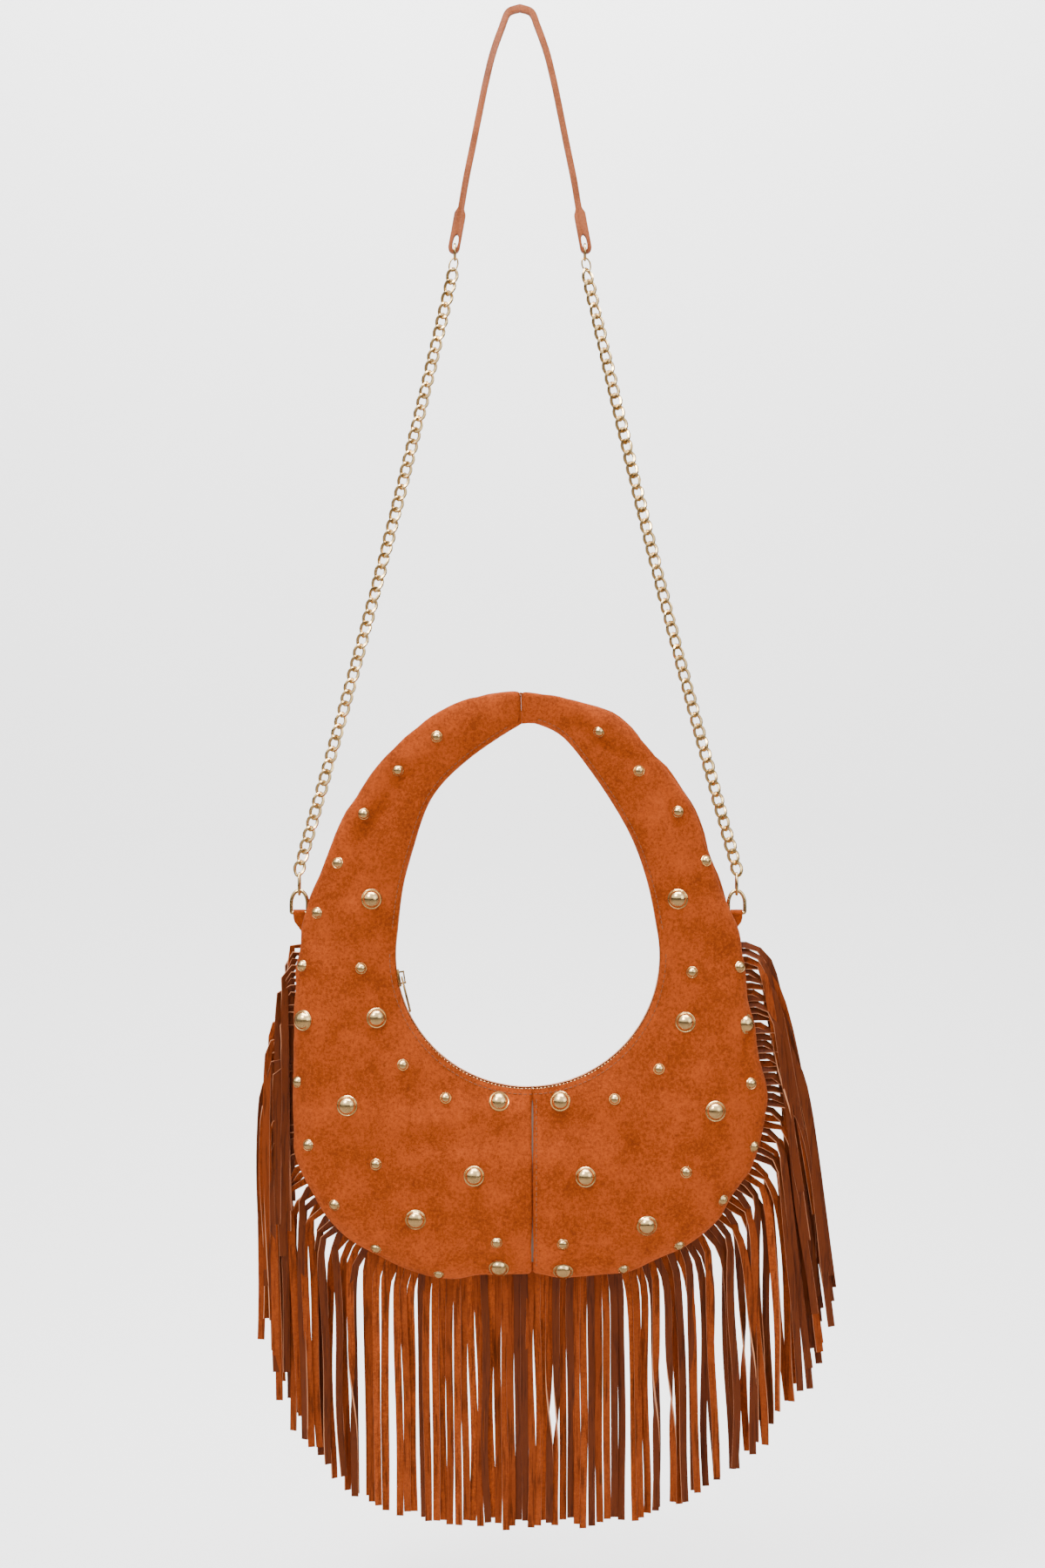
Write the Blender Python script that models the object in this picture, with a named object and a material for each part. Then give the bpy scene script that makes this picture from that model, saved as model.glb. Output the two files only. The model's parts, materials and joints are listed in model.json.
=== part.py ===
"""Fringed suede hoop bag, hanging by its chain and strap.

World frame: metres, +Z up, X across the bag, front face towards -Y.  The origin is the
underside of the shoulder strap where it lies over whatever holds it.  The bag itself is laid
out around its datum, the centre of the arc that the zip runs along.
"""
from math import asin, cos, pi, radians, sin

import bmesh
import bpy
from mathutils import Matrix, Vector
from mathutils.bvhtree import BVHTree

MM = 0.001

# Bag datum: centre of the zip arc
DATUM = Vector((5.1, 0.0, -614.0)) * MM
MOUTH_RADIUS = 86.0 * MM
MOUTH_END = radians(8.0)            # the zip arc ends this far above the datum on both sides
SEAM_X = 3.0 * MM                   # centre seam of the body, from the datum

# Suede shell
SUEDE = 1.2 * MM
HALF_MOUTH = 8.0 * MM               # half the width of the open mouth, zip included
EDGE_RECESS = 4.0 * MM              # the outer seam lies this far behind the puffed edge
SEAM_HALF_GAP = 2.0 * MM            # where the fringe header is caught between the panels
HOOP_HALF_GAP = 1.0 * MM            # where front and back are sewn straight together
CENTRE_GAP = 0.2 * MM
CREST = 0.58                        # where a panel is deepest, from mouth (0) to seam (1)

# Outlines of the bag around the datum, x and z in millimetres, from hoop seam to hem seam
OUTER = {
    "right": ((-4.5, 172.2), (27, 166.4), (59, 154.5), (84, 129), (102, 104.7), (113, 82.6),
              (129, 34.5), (136, 16.4), (141, -14.2), (149.4, -56), (155.7, -88),
              (148.3, -127.4), (136, -152), (114, -180), (84, -197), (52, -206), (3, -206)),
    "left": ((-4.5, 172.2), (-36, 167.5), (-62, 156.2), (-91, 130.2), (-109, 105.8),
             (-123.4, 78.7), (-143.8, 32.3), (-148.3, 9.6), (-150.6, -30), (-153.4, -78),
             (-151.7, -111.5), (-145.5, -139.2), (-119, -181), (-91, -198), (-60, -207),
             (3, -206)),
}
HOOP_INNER = {
    "right": ((-4, 150.5), (6, 150.3), (23.2, 141.5), (42, 118.3), (59, 92.3), (70.2, 70.2),
              (79, 43)),
    "left": ((-4, 150.5), (-20.4, 140.4), (-38.5, 127.4), (-55.5, 111.5), (-66.2, 94.5),
             (-75.3, 66.2), (-81.5, 42)),
}
RING_LEVEL = 16.4 * MM              # below this height the bag is a pouch, above it a hoop

# Depth of one panel along the half bag: share of the way from hoop seam to hem seam, depth
DEPTH = ((0.0, 7.0), (0.12, 8.5), (0.33, 13.0), (0.5, 20.0), (0.7, 25.0), (1.0, 27.0))
HOOP_SHARE = 0.35
ROWS_HOOP = 8
ROWS_POUCH = 12
COLUMNS = (0.0, 0.05, 0.2, 0.4, 0.58, 0.72, 0.84, 0.93, 1.0)

# Dome studs: radius, height; x, z of the left and of the right one of each pair, around datum
LARGE_STUD = (6.6 * MM, 4.4 * MM)
SMALL_STUD = (3.7 * MM, 2.6 * MM)
LARGE_PAIRS = ((-101, 37, 97, 37), (-145, -41, 143, -43.5), (-97.5, -39.5, 101.5, -42),
               (-116, -95, 120.5, -98.5), (-18.5, -93.5, 21, -93.5), (-34.5, -140, 37, -140.5),
               (-72, -168, 76.5, -172), (-19, -203, 23, -204))
SMALL_PAIRS = ((-146, -6, 140.5, -5.5), (-107.5, -7.5, 106, -10), (-80.5, -69.5, 84.5, -72),
               (-53, -91, 56, -91.5), (-149, -81, 144, -81.5), (-141.5, -121, 146, -122.5),
               (-97.5, -132.5, 101.5, -137.5), (-124.5, -159.5, 126, -157),
               (-20, -183, 22.5, -184), (-98, -188.5, 99, -188), (-57.5, -205, 62, -202))
STUD_LIFT = 0.3 * MM
STUD_SIDES = 8
STUD_CLEAR_OF_SEAM = 3.6 * MM

# Zip, by radius from the datum
TEETH_INNER, TEETH_OUTER = 86.6 * MM, 88.8 * MM
TEETH_NEAR, TEETH_FAR = 0.45 * MM, 2.3 * MM
TAPE_RADIUS, TAPE_THICK, TAPE_HALF = 89.4 * MM, 0.6 * MM, 5.6 * MM
SLIDER_ANGLE = radians(190.0)
SLIDER_HALF_LENGTH, SLIDER_HALF_WIDTH = 5.5 * MM, 3.8 * MM
SLIDER_WINGS = ((84.4 * MM, 86.2 * MM), (90.1 * MM, 91.2 * MM))
WEB_HALF = 0.2 * MM
BRIDGE_HALF_LENGTH, BRIDGE_HALF_WIDTH, BRIDGE_HEIGHT = 4.2 * MM, 1.1 * MM, 3.4 * MM
BRIDGE_BAR = 1.0 * MM
PULL_PIVOT_RADIUS = 83.2 * MM
PULL_LENGTH, PULL_HALF_WIDTH, PULL_THICK = 23.0 * MM, 3.4 * MM, 1.1 * MM
PULL_WINDOW = 5.3 * MM
PULL_TILT = radians(4.0)

# D-rings in their tabs, heights from the world origin
BAR_Z = -586.4 * MM
D_RING_X = {"left": -143.5 * MM, "right": 141.0 * MM}
D_WIRE = 1.2 * MM
D_HALF_WIDTH = 5.3 * MM             # to the wire's centre
D_HEIGHT = 14.4 * MM                # bar centre to the top of the bow, wire centres
TAB_HALF_WIDTH = 3.8 * MM
TAB_BEND = 1.95 * MM
TAB_THICK = 0.6 * MM
TAB_DROP = 17.0 * MM
TAB_LEAN = 9.0 * MM                 # the tab's foot lies this far inwards, in the side seam

# Chain and its end rings
END_WIRE = 0.8 * MM
STRAP_RING_RADIUS = 5.1 * MM        # wire centre
LINK_HALF_LENGTH, LINK_HALF_WIDTH, LINK_WIRE = 6.9 * MM, 3.2 * MM, 0.9 * MM
CHAIN_RADIUS = 3.8 * MM
CHAIN_SAG = 3.0 * MM
TOUCH = 0.35 * MM

# Shoulder strap: half thickness seen from the front, width along Y
STRAP_ROUTE = ((0, 2.0), (7.5, -0.9), (11.3, -9.5), (17.5, -27), (22.4, -47), (27, -69.5),
               (31, -89.5), (35, -109), (38.9, -132), (42.9, -153.8))
STRAP_HALF, STRAP_END_HALF = 2.0 * MM, 3.7 * MM
STRAP_HALF_WIDTH = 3.2 * MM
STRAP_FOLD = 24.0 * MM              # length of the end that is turned back and sewn
STRAP_RING_X, STRAP_RING_Z = 42.3 * MM, -156.6 * MM
EYE_HALF_WIDTH, EYE_HALF_LENGTH = 1.8 * MM, 5.3 * MM
EYE_CENTRE, EYE_SLANT = (41.9, -150.4), radians(10.3)

# Fringe: x and z in millimetres of where each stretch of strands ends, around the datum
FRINGE_START = 9.0 * MM             # highest point of the fringe on both sides
FRINGE_HEADER = 3.5 * MM            # header caught in the seam
FRINGE_OUT = 5.5 * MM                # stays flat until it has passed the puffed edges
FRINGE_TIPS = ((-156, 6), (-170, -30), (-174, -70), (-175, -120), (-174, -175), (-170, -235),
               (-163, -290), (-143, -328), (-108, -352), (-62, -362), (-20, -363), (20, -363),
               (62, -361), (100, -354), (132, -335), (156, -305), (176, -262), (192, -205),
               (196, -150), (188, -100), (172, -52), (150, 6))
FRINGE_HALF = (0.7, 0.7, 3.0, 3.2, 2.4)     # half thickness from header to tip


# ---------------------------------------------------------------- small tools

def clear_scene():
    for thing in list(bpy.data.objects):
        bpy.data.objects.remove(thing, do_unlink=True)


def material(name, colour, roughness, metallic=0.0):
    made = bpy.data.materials.new(name)
    made.use_nodes = True
    shader = made.node_tree.nodes["Principled BSDF"]
    shader.inputs["Base Color"].default_value = (*colour, 1.0)
    shader.inputs["Roughness"].default_value = roughness
    shader.inputs["Metallic"].default_value = metallic
    return made


def place(name, mesh, finish, matrix=None):
    mesh.materials.clear()
    mesh.materials.append(finish)
    made = bpy.data.objects.new(name, mesh)
    bpy.context.scene.collection.objects.link(made)
    if matrix is not None:
        made.matrix_world = matrix
    return made


def mesh_from(name, build):
    """Mesh made by a function that fills a bmesh, with its faces pointing out."""
    shape = bmesh.new()
    build(shape)
    bmesh.ops.recalc_face_normals(shape, faces=shape.faces)
    mesh = bpy.data.meshes.new(name)
    shape.to_mesh(mesh)
    shape.free()
    return mesh


def sheet_mesh(name, rows, skip=(), flip=False):
    """Open sheet over a grid of points; cells named in skip are left out."""
    shape = bmesh.new()
    grid = [[shape.verts.new(point) for point in row] for row in rows]
    for i in range(len(rows) - 1):
        for j in range(len(rows[0]) - 1):
            if (i, j) in skip:
                continue
            corners = [grid[i][j], grid[i + 1][j], grid[i + 1][j + 1], grid[i][j + 1]]
            shape.faces.new(corners[::-1] if flip else corners)
    mesh = bpy.data.meshes.new(name)
    shape.to_mesh(mesh)
    shape.free()
    return mesh


def slab_mesh(name, front, back):
    """Closed solid between two grids of points of the same size."""
    def build(shape):
        grids = [[[shape.verts.new(p) for p in row] for row in rows] for rows in (front, back)]
        last_row, last_col = len(front) - 1, len(front[0]) - 1
        for grid in grids:
            for i in range(last_row):
                for j in range(last_col):
                    shape.faces.new((grid[i][j], grid[i + 1][j], grid[i + 1][j + 1],
                                     grid[i][j + 1]))
        rim = ([(i, 0) for i in range(last_row)] + [(last_row, j) for j in range(last_col)]
               + [(i, last_col) for i in range(last_row, 0, -1)]
               + [(0, j) for j in range(last_col, 0, -1)])
        for (i, j), (k, m) in zip(rim, rim[1:] + rim[:1]):
            shape.faces.new((grids[0][i][j], grids[0][k][m], grids[1][k][m], grids[1][i][j]))
    return mesh_from(name, build)


def thicken(thing, depth, offset=-1.0):
    solid = thing.modifiers.new("thickness", "SOLIDIFY")
    solid.thickness = depth
    solid.offset = offset
    solid.use_even_offset = False


def curve_tube(name, points, radius, finish, closed=False, resolution=2):
    """Round wire or tube through a list of points."""
    curve = bpy.data.curves.new(name, "CURVE")
    curve.dimensions = "3D"
    curve.bevel_depth = radius
    curve.bevel_resolution = resolution
    curve.use_fill_caps = not closed
    spline = curve.splines.new("POLY")
    spline.points.add(len(points) - 1)
    for knot, point in zip(spline.points, points):
        knot.co = (*point, 1.0)
    spline.use_cyclic_u = closed
    curve.materials.append(finish)
    made = bpy.data.objects.new(name, curve)
    bpy.context.scene.collection.objects.link(made)
    return made


def box(shape, low, high):
    """Axis-aligned block between two corners."""
    made = bmesh.ops.create_cube(shape, size=1.0)["verts"]
    for vert in made:
        vert.co = Vector([low[k] if vert.co[k] < 0 else high[k] for k in range(3)])


def blend(keys, share):
    """Smooth value at a share of the way through a list of (share, value)."""
    for (a, low), (b, high) in zip(keys, keys[1:]):
        if share <= b:
            part = max(0.0, (share - a) / (b - a))
            return low + (high - low) * part * part * (3 - 2 * part)
    return keys[-1][1]


def smooth_line(points, per_span=10):
    """Catmull-Rom curve through points given as x, z."""
    knots = [Vector(p) for p in points]
    knots = [knots[0] * 2 - knots[1]] + knots + [knots[-1] * 2 - knots[-2]]
    line = []
    for a, b, c, d in zip(knots, knots[1:], knots[2:], knots[3:]):
        for step in range(per_span):
            u = step / per_span
            line.append(0.5 * (2 * b + (c - a) * u + (2 * a - 5 * b + 4 * c - d) * u * u
                               + (3 * b - a - 3 * c + d) * u ** 3))
    return line + [knots[-2]]


def hide(helper):
    helper.hide_render = True
    helper.display_type = "WIRE"


def join_blocks(name, blocks, finish, matrix):
    """Solid of overlapping blocks, joined by unions with hidden helpers."""
    body = place(name, mesh_from(name, lambda shape: box(shape, *blocks[0])), finish, matrix)
    for number, corners in enumerate(blocks[1:], 1):
        label = f"{name}_block_{number}"
        helper = place(label, mesh_from(label, lambda shape: box(shape, *corners)), finish,
                       matrix)
        hide(helper)
        union = body.modifiers.new(label, "BOOLEAN")
        union.operation = "UNION"
        union.object = helper
    return body


def along(line, share):
    """Point at a share of the length of a polyline."""
    lengths = [(b - a).length for a, b in zip(line, line[1:])]
    rest = share * sum(lengths)
    for a, b, length in zip(line, line[1:], lengths):
        if rest <= length:
            return a.lerp(b, rest / length)
        rest -= length
    return line[-1]


# ---------------------------------------------------------------- shape of the shell

def half_rails(half):
    """Inner and outer edge of one half, each as a hoop stretch and a pouch stretch."""
    outer = [p * MM for p in smooth_line(OUTER[half])]
    split = next(i for i, p in enumerate(outer) if p.y < RING_LEVEL)
    sign = 1 if half == "right" else -1
    start = MOUTH_END if half == "right" else pi - MOUTH_END
    end = (-0.5 * pi if half == "right" else 1.5 * pi) + asin(SEAM_X / MOUTH_RADIUS)
    arc = [Vector((cos(a), sin(a))) * MOUTH_RADIUS
           for a in (start + (end - start) * k / 40 for k in range(41))]
    first = (sign * MOUTH_RADIUS * cos(MOUTH_END) / MM, MOUTH_RADIUS * sin(MOUTH_END) / MM)
    inner = [p * MM for p in smooth_line(HOOP_INNER[half] + (first,))]
    return {"hoop": (inner, outer[:split + 1]), "pouch": (arc, outer[split:])}


RAILS = {half: half_rails(half) for half in ("left", "right")}


def ruling(half, share):
    """Inner and outer edge points, x and z around the datum, at a share of the half bag."""
    if share <= HOOP_SHARE:
        inner, outer = RAILS[half]["hoop"]
        part = share / HOOP_SHARE
    else:
        inner, outer = RAILS[half]["pouch"]
        part = (share - HOOP_SHARE) / (1 - HOOP_SHARE)
    return along(inner, part), along(outer, part)


def mouth_half(share):
    return blend(((0.0, HOOP_HALF_GAP), (HOOP_SHARE - 0.1, HOOP_HALF_GAP),
                  (HOOP_SHARE, HALF_MOUTH), (1.0, HALF_MOUTH)), share)


def seam_half(share):
    return blend(((0.0, HOOP_HALF_GAP), (HOOP_SHARE - 0.06, HOOP_HALF_GAP),
                  (HOOP_SHARE, SEAM_HALF_GAP), (1.0, SEAM_HALF_GAP)), share)


def shell_point(half, side, share, column):
    """Outside of the suede; side is -1 in front and +1 behind."""
    inner, outer = ruling(half, share)
    width = (outer - inner).length
    depth = blend(DEPTH, share) * MM
    if column <= CREST:
        part = column / CREST
        low = mouth_half(share)
        pouch = (low - HOOP_HALF_GAP) / (HALF_MOUTH - HOOP_HALF_GAP)
        y = low + (depth - low) * sin(pi / 2 * part) ** (0.5 + 0.4 * pouch)
        reach = column
    else:
        run = (1 - CREST) * width
        last = pi - asin(1 - EDGE_RECESS / run)
        turn = (column - CREST) / (1 - CREST) * last
        swell = (depth - seam_half(share)) / (1 - cos(last))
        y = depth - swell + swell * cos(turn)
        reach = CREST + (1 - CREST) * sin(turn)
    flat = inner.lerp(outer, reach)
    return DATUM + Vector((flat.x, side * y, flat.y))


def shell_normal(half, side, share, column):
    """Unit normal pointing out of the suede."""
    step = 0.004
    low_s, high_s = max(share - step, 0.0), min(share + step, 1.0)
    low_c, high_c = max(column - step, 0.0), min(column + step, 1.0)
    down = shell_point(half, side, high_s, column) - shell_point(half, side, low_s, column)
    across = shell_point(half, side, share, high_c) - shell_point(half, side, share, low_c)
    normal = down.cross(across).normalized()
    hand = 1 if (half == "right") == (side < 0) else -1
    return normal * hand


def row_shares():
    hoop = [HOOP_SHARE * i / ROWS_HOOP for i in range(ROWS_HOOP)]
    pouch = [HOOP_SHARE + (1 - HOOP_SHARE) * i / ROWS_POUCH for i in range(ROWS_POUCH + 1)]
    return hoop + pouch


def make_panel(half, side, finish):
    hand = 1 if half == "right" else -1
    rows = [[shell_point(half, side, share, column) for column in COLUMNS]
            for share in row_shares()]
    for row in (rows[0], rows[-1]):
        for point in row:
            point.x += hand * CENTRE_GAP
    name = f"{'front' if side < 0 else 'back'}_panel_{half}"
    flip = (half == "right") != (side < 0)
    panel = place(name, sheet_mesh(name, rows, flip=flip), finish)
    thicken(panel, SUEDE)
    return panel


def make_lining(finish):
    """Pouch inside the shell, open along the zip."""
    columns = COLUMNS[1:-3]
    stations = [("left", s) for s in row_shares()[ROWS_HOOP + 1:-1]]
    stations += [("right", s) for s in reversed(row_shares()[ROWS_HOOP + 1:])]
    inset = SUEDE + 1.0 * MM
    rows = []
    for half, share in stations:
        front = [shell_point(half, -1, share, c) - shell_normal(half, -1, share, c) * inset
                 for c in columns]
        back = [shell_point(half, 1, share, c) - shell_normal(half, 1, share, c) * inset
                for c in reversed(columns)]
        rows.append(front + back)
    lining = place("lining", sheet_mesh("lining", rows), finish)
    thicken(lining, 0.4 * MM, 0.0)
    return lining


# ---------------------------------------------------------------- studs

def stud_mesh(name, radius, height):
    def build(shape):
        rings = []
        for reach, rise in ((1.0, 0.0), (1.0, 0.2), (0.7, 0.78)):
            rings.append([shape.verts.new((radius * reach * cos(2 * pi * k / STUD_SIDES),
                                           radius * reach * sin(2 * pi * k / STUD_SIDES),
                                           height * rise)) for k in range(STUD_SIDES)])
        shape.faces.new(rings[0])
        for low, high in zip(rings, rings[1:]):
            for k in range(STUD_SIDES):
                shape.faces.new((low[k - 1], low[k], high[k], high[k - 1]))
        top = shape.verts.new((0, 0, height))
        for k in range(STUD_SIDES):
            shape.faces.new((rings[-1][k - 1], rings[-1][k], top))
    return mesh_from(name, build)


def surface_tree(panels):
    """Search tree over the panels as they are built."""
    graph = bpy.context.evaluated_depsgraph_get()
    verts, faces = [], []
    for panel in panels:
        mesh = panel.evaluated_get(graph).to_mesh()
        start = len(verts)
        verts += [vert.co.copy() for vert in mesh.vertices]
        faces += [[start + index for index in face.vertices] for face in mesh.polygons]
    return BVHTree.FromPolygons(verts, faces)


def stud_matrix(tree, x, z, radius):
    """Seat a stud on the front; near the rim it moves in until it clears the seam."""
    flat = DATUM + Vector((x, 0, z)) * MM
    middle = DATUM + Vector((0, 0, -60)) * MM
    while True:
        hits = [tree.ray_cast(flat + Vector((radius * r * cos(a), -0.1, radius * r * sin(a))),
                              Vector((0, 1, 0)))
                for r in (0.0, 0.8) for a in (0.0, pi / 2, pi, 1.5 * pi)]
        if all(hit[0] is not None for hit in hits):
            normal = sum((hit[1] for hit in hits), Vector()).normalized()
            centre = hits[0][0]
            turn = Vector((0, 0, 1)).rotation_difference(normal)
            rim = [centre + turn @ Vector((radius * cos(a), radius * sin(a), 0))
                   for a in (2 * pi * k / 16 for k in range(16))]
            if max(point.y for point in rim) < -STUD_CLEAR_OF_SEAM:
                break
        flat += (middle - flat).normalized() * 0.5 * MM
    # lift until nothing under the stud's foot stands higher than the foot
    rise = 0.0
    for reach in (0.0, 0.35, 0.7, 1.0):
        for k in range(12):
            a = 2 * pi * k / 12
            start = centre + turn @ Vector((radius * reach * cos(a), radius * reach * sin(a), 0))
            hit = tree.ray_cast(start + normal * 20 * MM, -normal)[0]
            if hit is not None:
                rise = max(rise, (hit - start).dot(normal))
    spot = centre + normal * (rise + STUD_LIFT)
    return Matrix.Translation(spot) @ turn.to_matrix().to_4x4()


def make_studs(tree, finish):
    for kind, (radius, height), pairs in (("large", LARGE_STUD, LARGE_PAIRS),
                                          ("small", SMALL_STUD, SMALL_PAIRS)):
        mesh = stud_mesh(f"stud_{kind}", radius, height)
        for number, (left_x, left_z, right_x, right_z) in enumerate(pairs, 1):
            for half, x, z in (("left", left_x, left_z), ("right", right_x, right_z)):
                place(f"stud_{kind}_{half}_{number}", mesh, finish,
                      stud_matrix(tree, x, z, radius))


# ---------------------------------------------------------------- zip

def on_arc(radius, angle, y=0.0):
    return DATUM + Vector((radius * cos(angle), y, radius * sin(angle)))


def make_zip_tape(finish):
    """One band along the arc, slit down its middle and whole at both ends."""
    steps = 30
    angles = [pi - MOUTH_END + 0.03 + (pi + 2 * MOUTH_END - 0.06) * k / steps
              for k in range(steps + 1)]
    across = (-TAPE_HALF, -TEETH_NEAR, TEETH_NEAR, TAPE_HALF)
    rows = [[on_arc(TAPE_RADIUS, a, y) for y in across] for a in angles]
    slit = {(i, 1) for i in range(1, steps - 1)}
    tape = place("zip_tape", sheet_mesh("zip_tape", rows, skip=slit), finish)
    thicken(tape, TAPE_THICK, 0.0)


def make_zip_teeth(finish):
    steps = 30
    first, last = pi - MOUTH_END + 0.08, 2 * pi + MOUTH_END - 0.08
    for name, side in (("front", -1), ("back", 1)):
        rows = [[[on_arc(r, first + (last - first) * k / steps, side * y)
                  for y in (TEETH_NEAR, TEETH_FAR)] for k in range(steps + 1)]
                for r in (TEETH_INNER, TEETH_OUTER)]
        node = f"zip_teeth_{name}"
        place(node, slab_mesh(node, rows[0], rows[1]), finish)


def slider_frame():
    """Local x along the zip, local z towards the datum, at the zip arc's radius zero."""
    turn = Matrix.Rotation(-(SLIDER_ANGLE - 1.5 * pi), 4, "Y")
    return Matrix.Translation(DATUM) @ turn


def make_slider(finish):
    """Two wings round the teeth, a thin web between them and a bridge for the pull."""
    length, width = SLIDER_HALF_LENGTH, SLIDER_HALF_WIDTH
    (top_low, top_high), (under_low, under_high) = SLIDER_WINGS
    lap = 0.2 * MM
    foot, crown = -top_low - lap, -top_low + BRIDGE_HEIGHT
    bridge, half = BRIDGE_HALF_LENGTH, BRIDGE_HALF_WIDTH
    blocks = [((-length, -width, -top_high), (length, width, -top_low)),
              ((-length, -width, -under_high), (length, width, -under_low)),
              ((-0.4 * length, -WEB_HALF, -under_low - lap),
               (0.4 * length, WEB_HALF, -top_high + lap)),
              ((-bridge, -half, foot), (BRIDGE_BAR - bridge, half, crown)),
              ((bridge - BRIDGE_BAR, -half, foot), (bridge, half, crown)),
              ((0.1 * MM - bridge, 0.1 * MM - half, crown - BRIDGE_BAR),
               (bridge - 0.1 * MM, half - 0.1 * MM, crown - 0.1 * MM))]
    return join_blocks("zip_slider", blocks, finish, slider_frame())


def pull_frame():
    pivot = on_arc(PULL_PIVOT_RADIUS, SLIDER_ANGLE)
    return Matrix.Translation(pivot) @ Matrix.Rotation(
        -(SLIDER_ANGLE - 1.5 * pi) - PULL_TILT, 4, "Y")


def make_pull(finish):
    """Flat tag with a window at its pivot end, which the bridge passes through."""
    half, width, thick = PULL_THICK / 2, PULL_HALF_WIDTH, PULL_THICK
    rail = BRIDGE_HALF_WIDTH + 0.5 * MM
    lap = 0.1 * MM
    blocks = [((PULL_WINDOW, -width, -half), (PULL_LENGTH, width, half)),
              ((-half, rail, lap - half), (PULL_WINDOW + thick, width - lap, half - lap)),
              ((-half, lap - width, lap - half), (PULL_WINDOW + thick, -rail, half - lap)),
              ((lap - half, -width + 2 * lap, 2 * lap - half),
               (half - lap, width - 2 * lap, half - 2 * lap))]
    return join_blocks("zip_pull", blocks, finish, pull_frame())


# ---------------------------------------------------------------- rings, chain and strap

def make_tab(half, finish):
    """Suede strip folded over the D-ring's bar, both ends caught in the side seam."""
    bend = [(TAB_BEND * cos(a), TAB_BEND * sin(a))
            for a in (radians(235) - radians(290) * k / 10 for k in range(11))]
    leg = 0.45 * MM
    path = [(-leg, -TAB_DROP), (-leg, -TAB_DROP * 0.6), (-leg, -3.3 * MM)] + bend
    path += [(leg, -3.3 * MM), (leg, -TAB_DROP * 0.6), (leg, -TAB_DROP)]
    path = [Vector(p) for p in path]
    inward = 1 if half == "left" else -1
    sides = []
    for offset in (-TAB_THICK / 2, TAB_THICK / 2):
        rows = []
        for k, point in enumerate(path):
            before, after = path[max(k - 1, 0)], path[min(k + 1, len(path) - 1)]
            run = (after - before).normalized()
            spot = point + Vector((-run.y, run.x)) * offset
            drop = max(0.0, -spot.y - 5.0 * MM) / (TAB_DROP - 5.0 * MM)
            shift = D_RING_X[half] + inward * TAB_LEAN * drop
            rows.append([Vector((shift + x, spot.x, BAR_Z + spot.y))
                         for x in (-TAB_HALF_WIDTH, TAB_HALF_WIDTH)])
        sides.append(rows)
    return place(f"ring_tab_{half}", slab_mesh(f"ring_tab_{half}", *sides), finish)


def make_d_ring(half, finish):
    shoulder = 6.0 * MM
    bow = [(D_HALF_WIDTH * cos(a), shoulder + (D_HEIGHT - shoulder) * sin(a))
           for a in (pi * k / 8 for k in range(9))]
    corner = 0.9 * MM
    flat = [(corner - D_HALF_WIDTH, 0.0), (D_HALF_WIDTH - corner, 0.0), (D_HALF_WIDTH, corner)]
    flat += bow + [(-D_HALF_WIDTH, corner)]
    points = [Vector((D_RING_X[half] + x, 0.0, BAR_Z + z)) for x, z in flat]
    return curve_tube(f"d_ring_{half}", points, D_WIRE, finish, closed=True)


def oval(centre, half_length, half_width, count=16):
    """Points of an upright oval ring that stands edge-on to the front."""
    return [centre + Vector((0.0, half_width * sin(a), half_length * cos(a)))
            for a in (2 * pi * k / count for k in range(count))]


def chain_ends(half):
    hand = 1 if half == "right" else -1
    top = Vector((hand * STRAP_RING_X, 0.0,
                  STRAP_RING_Z - STRAP_RING_RADIUS - END_WIRE - TOUCH))
    link = Vector((D_RING_X[half], 0.0,
                   BAR_Z + D_HEIGHT - D_WIRE - TOUCH + LINK_HALF_LENGTH - LINK_WIRE))
    bottom = link + Vector((0.0, 0.0, LINK_HALF_LENGTH + LINK_WIRE + TOUCH))
    return top, bottom, link


def make_chain(half, finish):
    """Chain with the ring that joins it to the strap and the link that joins it to the bag."""
    hand = 1 if half == "right" else -1
    top, bottom, link = chain_ends(half)
    ring = Vector((hand * STRAP_RING_X, 0.0, STRAP_RING_Z))
    route = []
    for k in range(7):
        point = top.lerp(bottom, k / 6)
        point.x -= hand * CHAIN_SAG * sin(pi * k / 6)
        route.append(point)
    return [curve_tube(f"chain_{half}", route, CHAIN_RADIUS, finish),
            curve_tube(f"strap_ring_{half}",
                       oval(ring, STRAP_RING_RADIUS, STRAP_RING_RADIUS), END_WIRE, finish,
                       closed=True),
            curve_tube(f"end_link_{half}", oval(link, LINK_HALF_LENGTH, LINK_HALF_WIDTH),
                       LINK_WIRE, finish, closed=True)]


def strap_outline():
    """Front view of the strap as one closed line, its two ends rounded."""
    right = smooth_line(STRAP_ROUTE, 4)
    line = [Vector((-p.x, p.y)) for p in reversed(right[1:])] + right
    line = [p * MM for p in line]
    total = sum((b - a).length for a, b in zip(line, line[1:]))
    upper, lower, gone = [], [], 0.0
    for k, point in enumerate(line):
        if k:
            gone += (point - line[k - 1]).length
        run = (line[min(k + 1, len(line) - 1)] - line[max(k - 1, 0)]).normalized()
        half = blend(((0.0, STRAP_END_HALF / MM), (STRAP_FOLD - 2 * MM, STRAP_END_HALF / MM),
                      (STRAP_FOLD + 2 * MM, STRAP_HALF / MM)), min(gone, total - gone)) * MM
        side = Vector((-run.y, run.x)) * half
        upper.append(point + side)
        lower.append(point - side)
    caps = []
    for end, near in ((line[-1], line[-2]), (line[0], line[1])):
        run = (end - near).normalized()
        side = Vector((-run.y, run.x))
        caps.append([end + (side * cos(a) + run * sin(a)) * STRAP_END_HALF
                     for a in (pi * k / 6 for k in range(1, 6))])
    return upper + caps[0] + lower[::-1] + caps[1]


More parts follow.
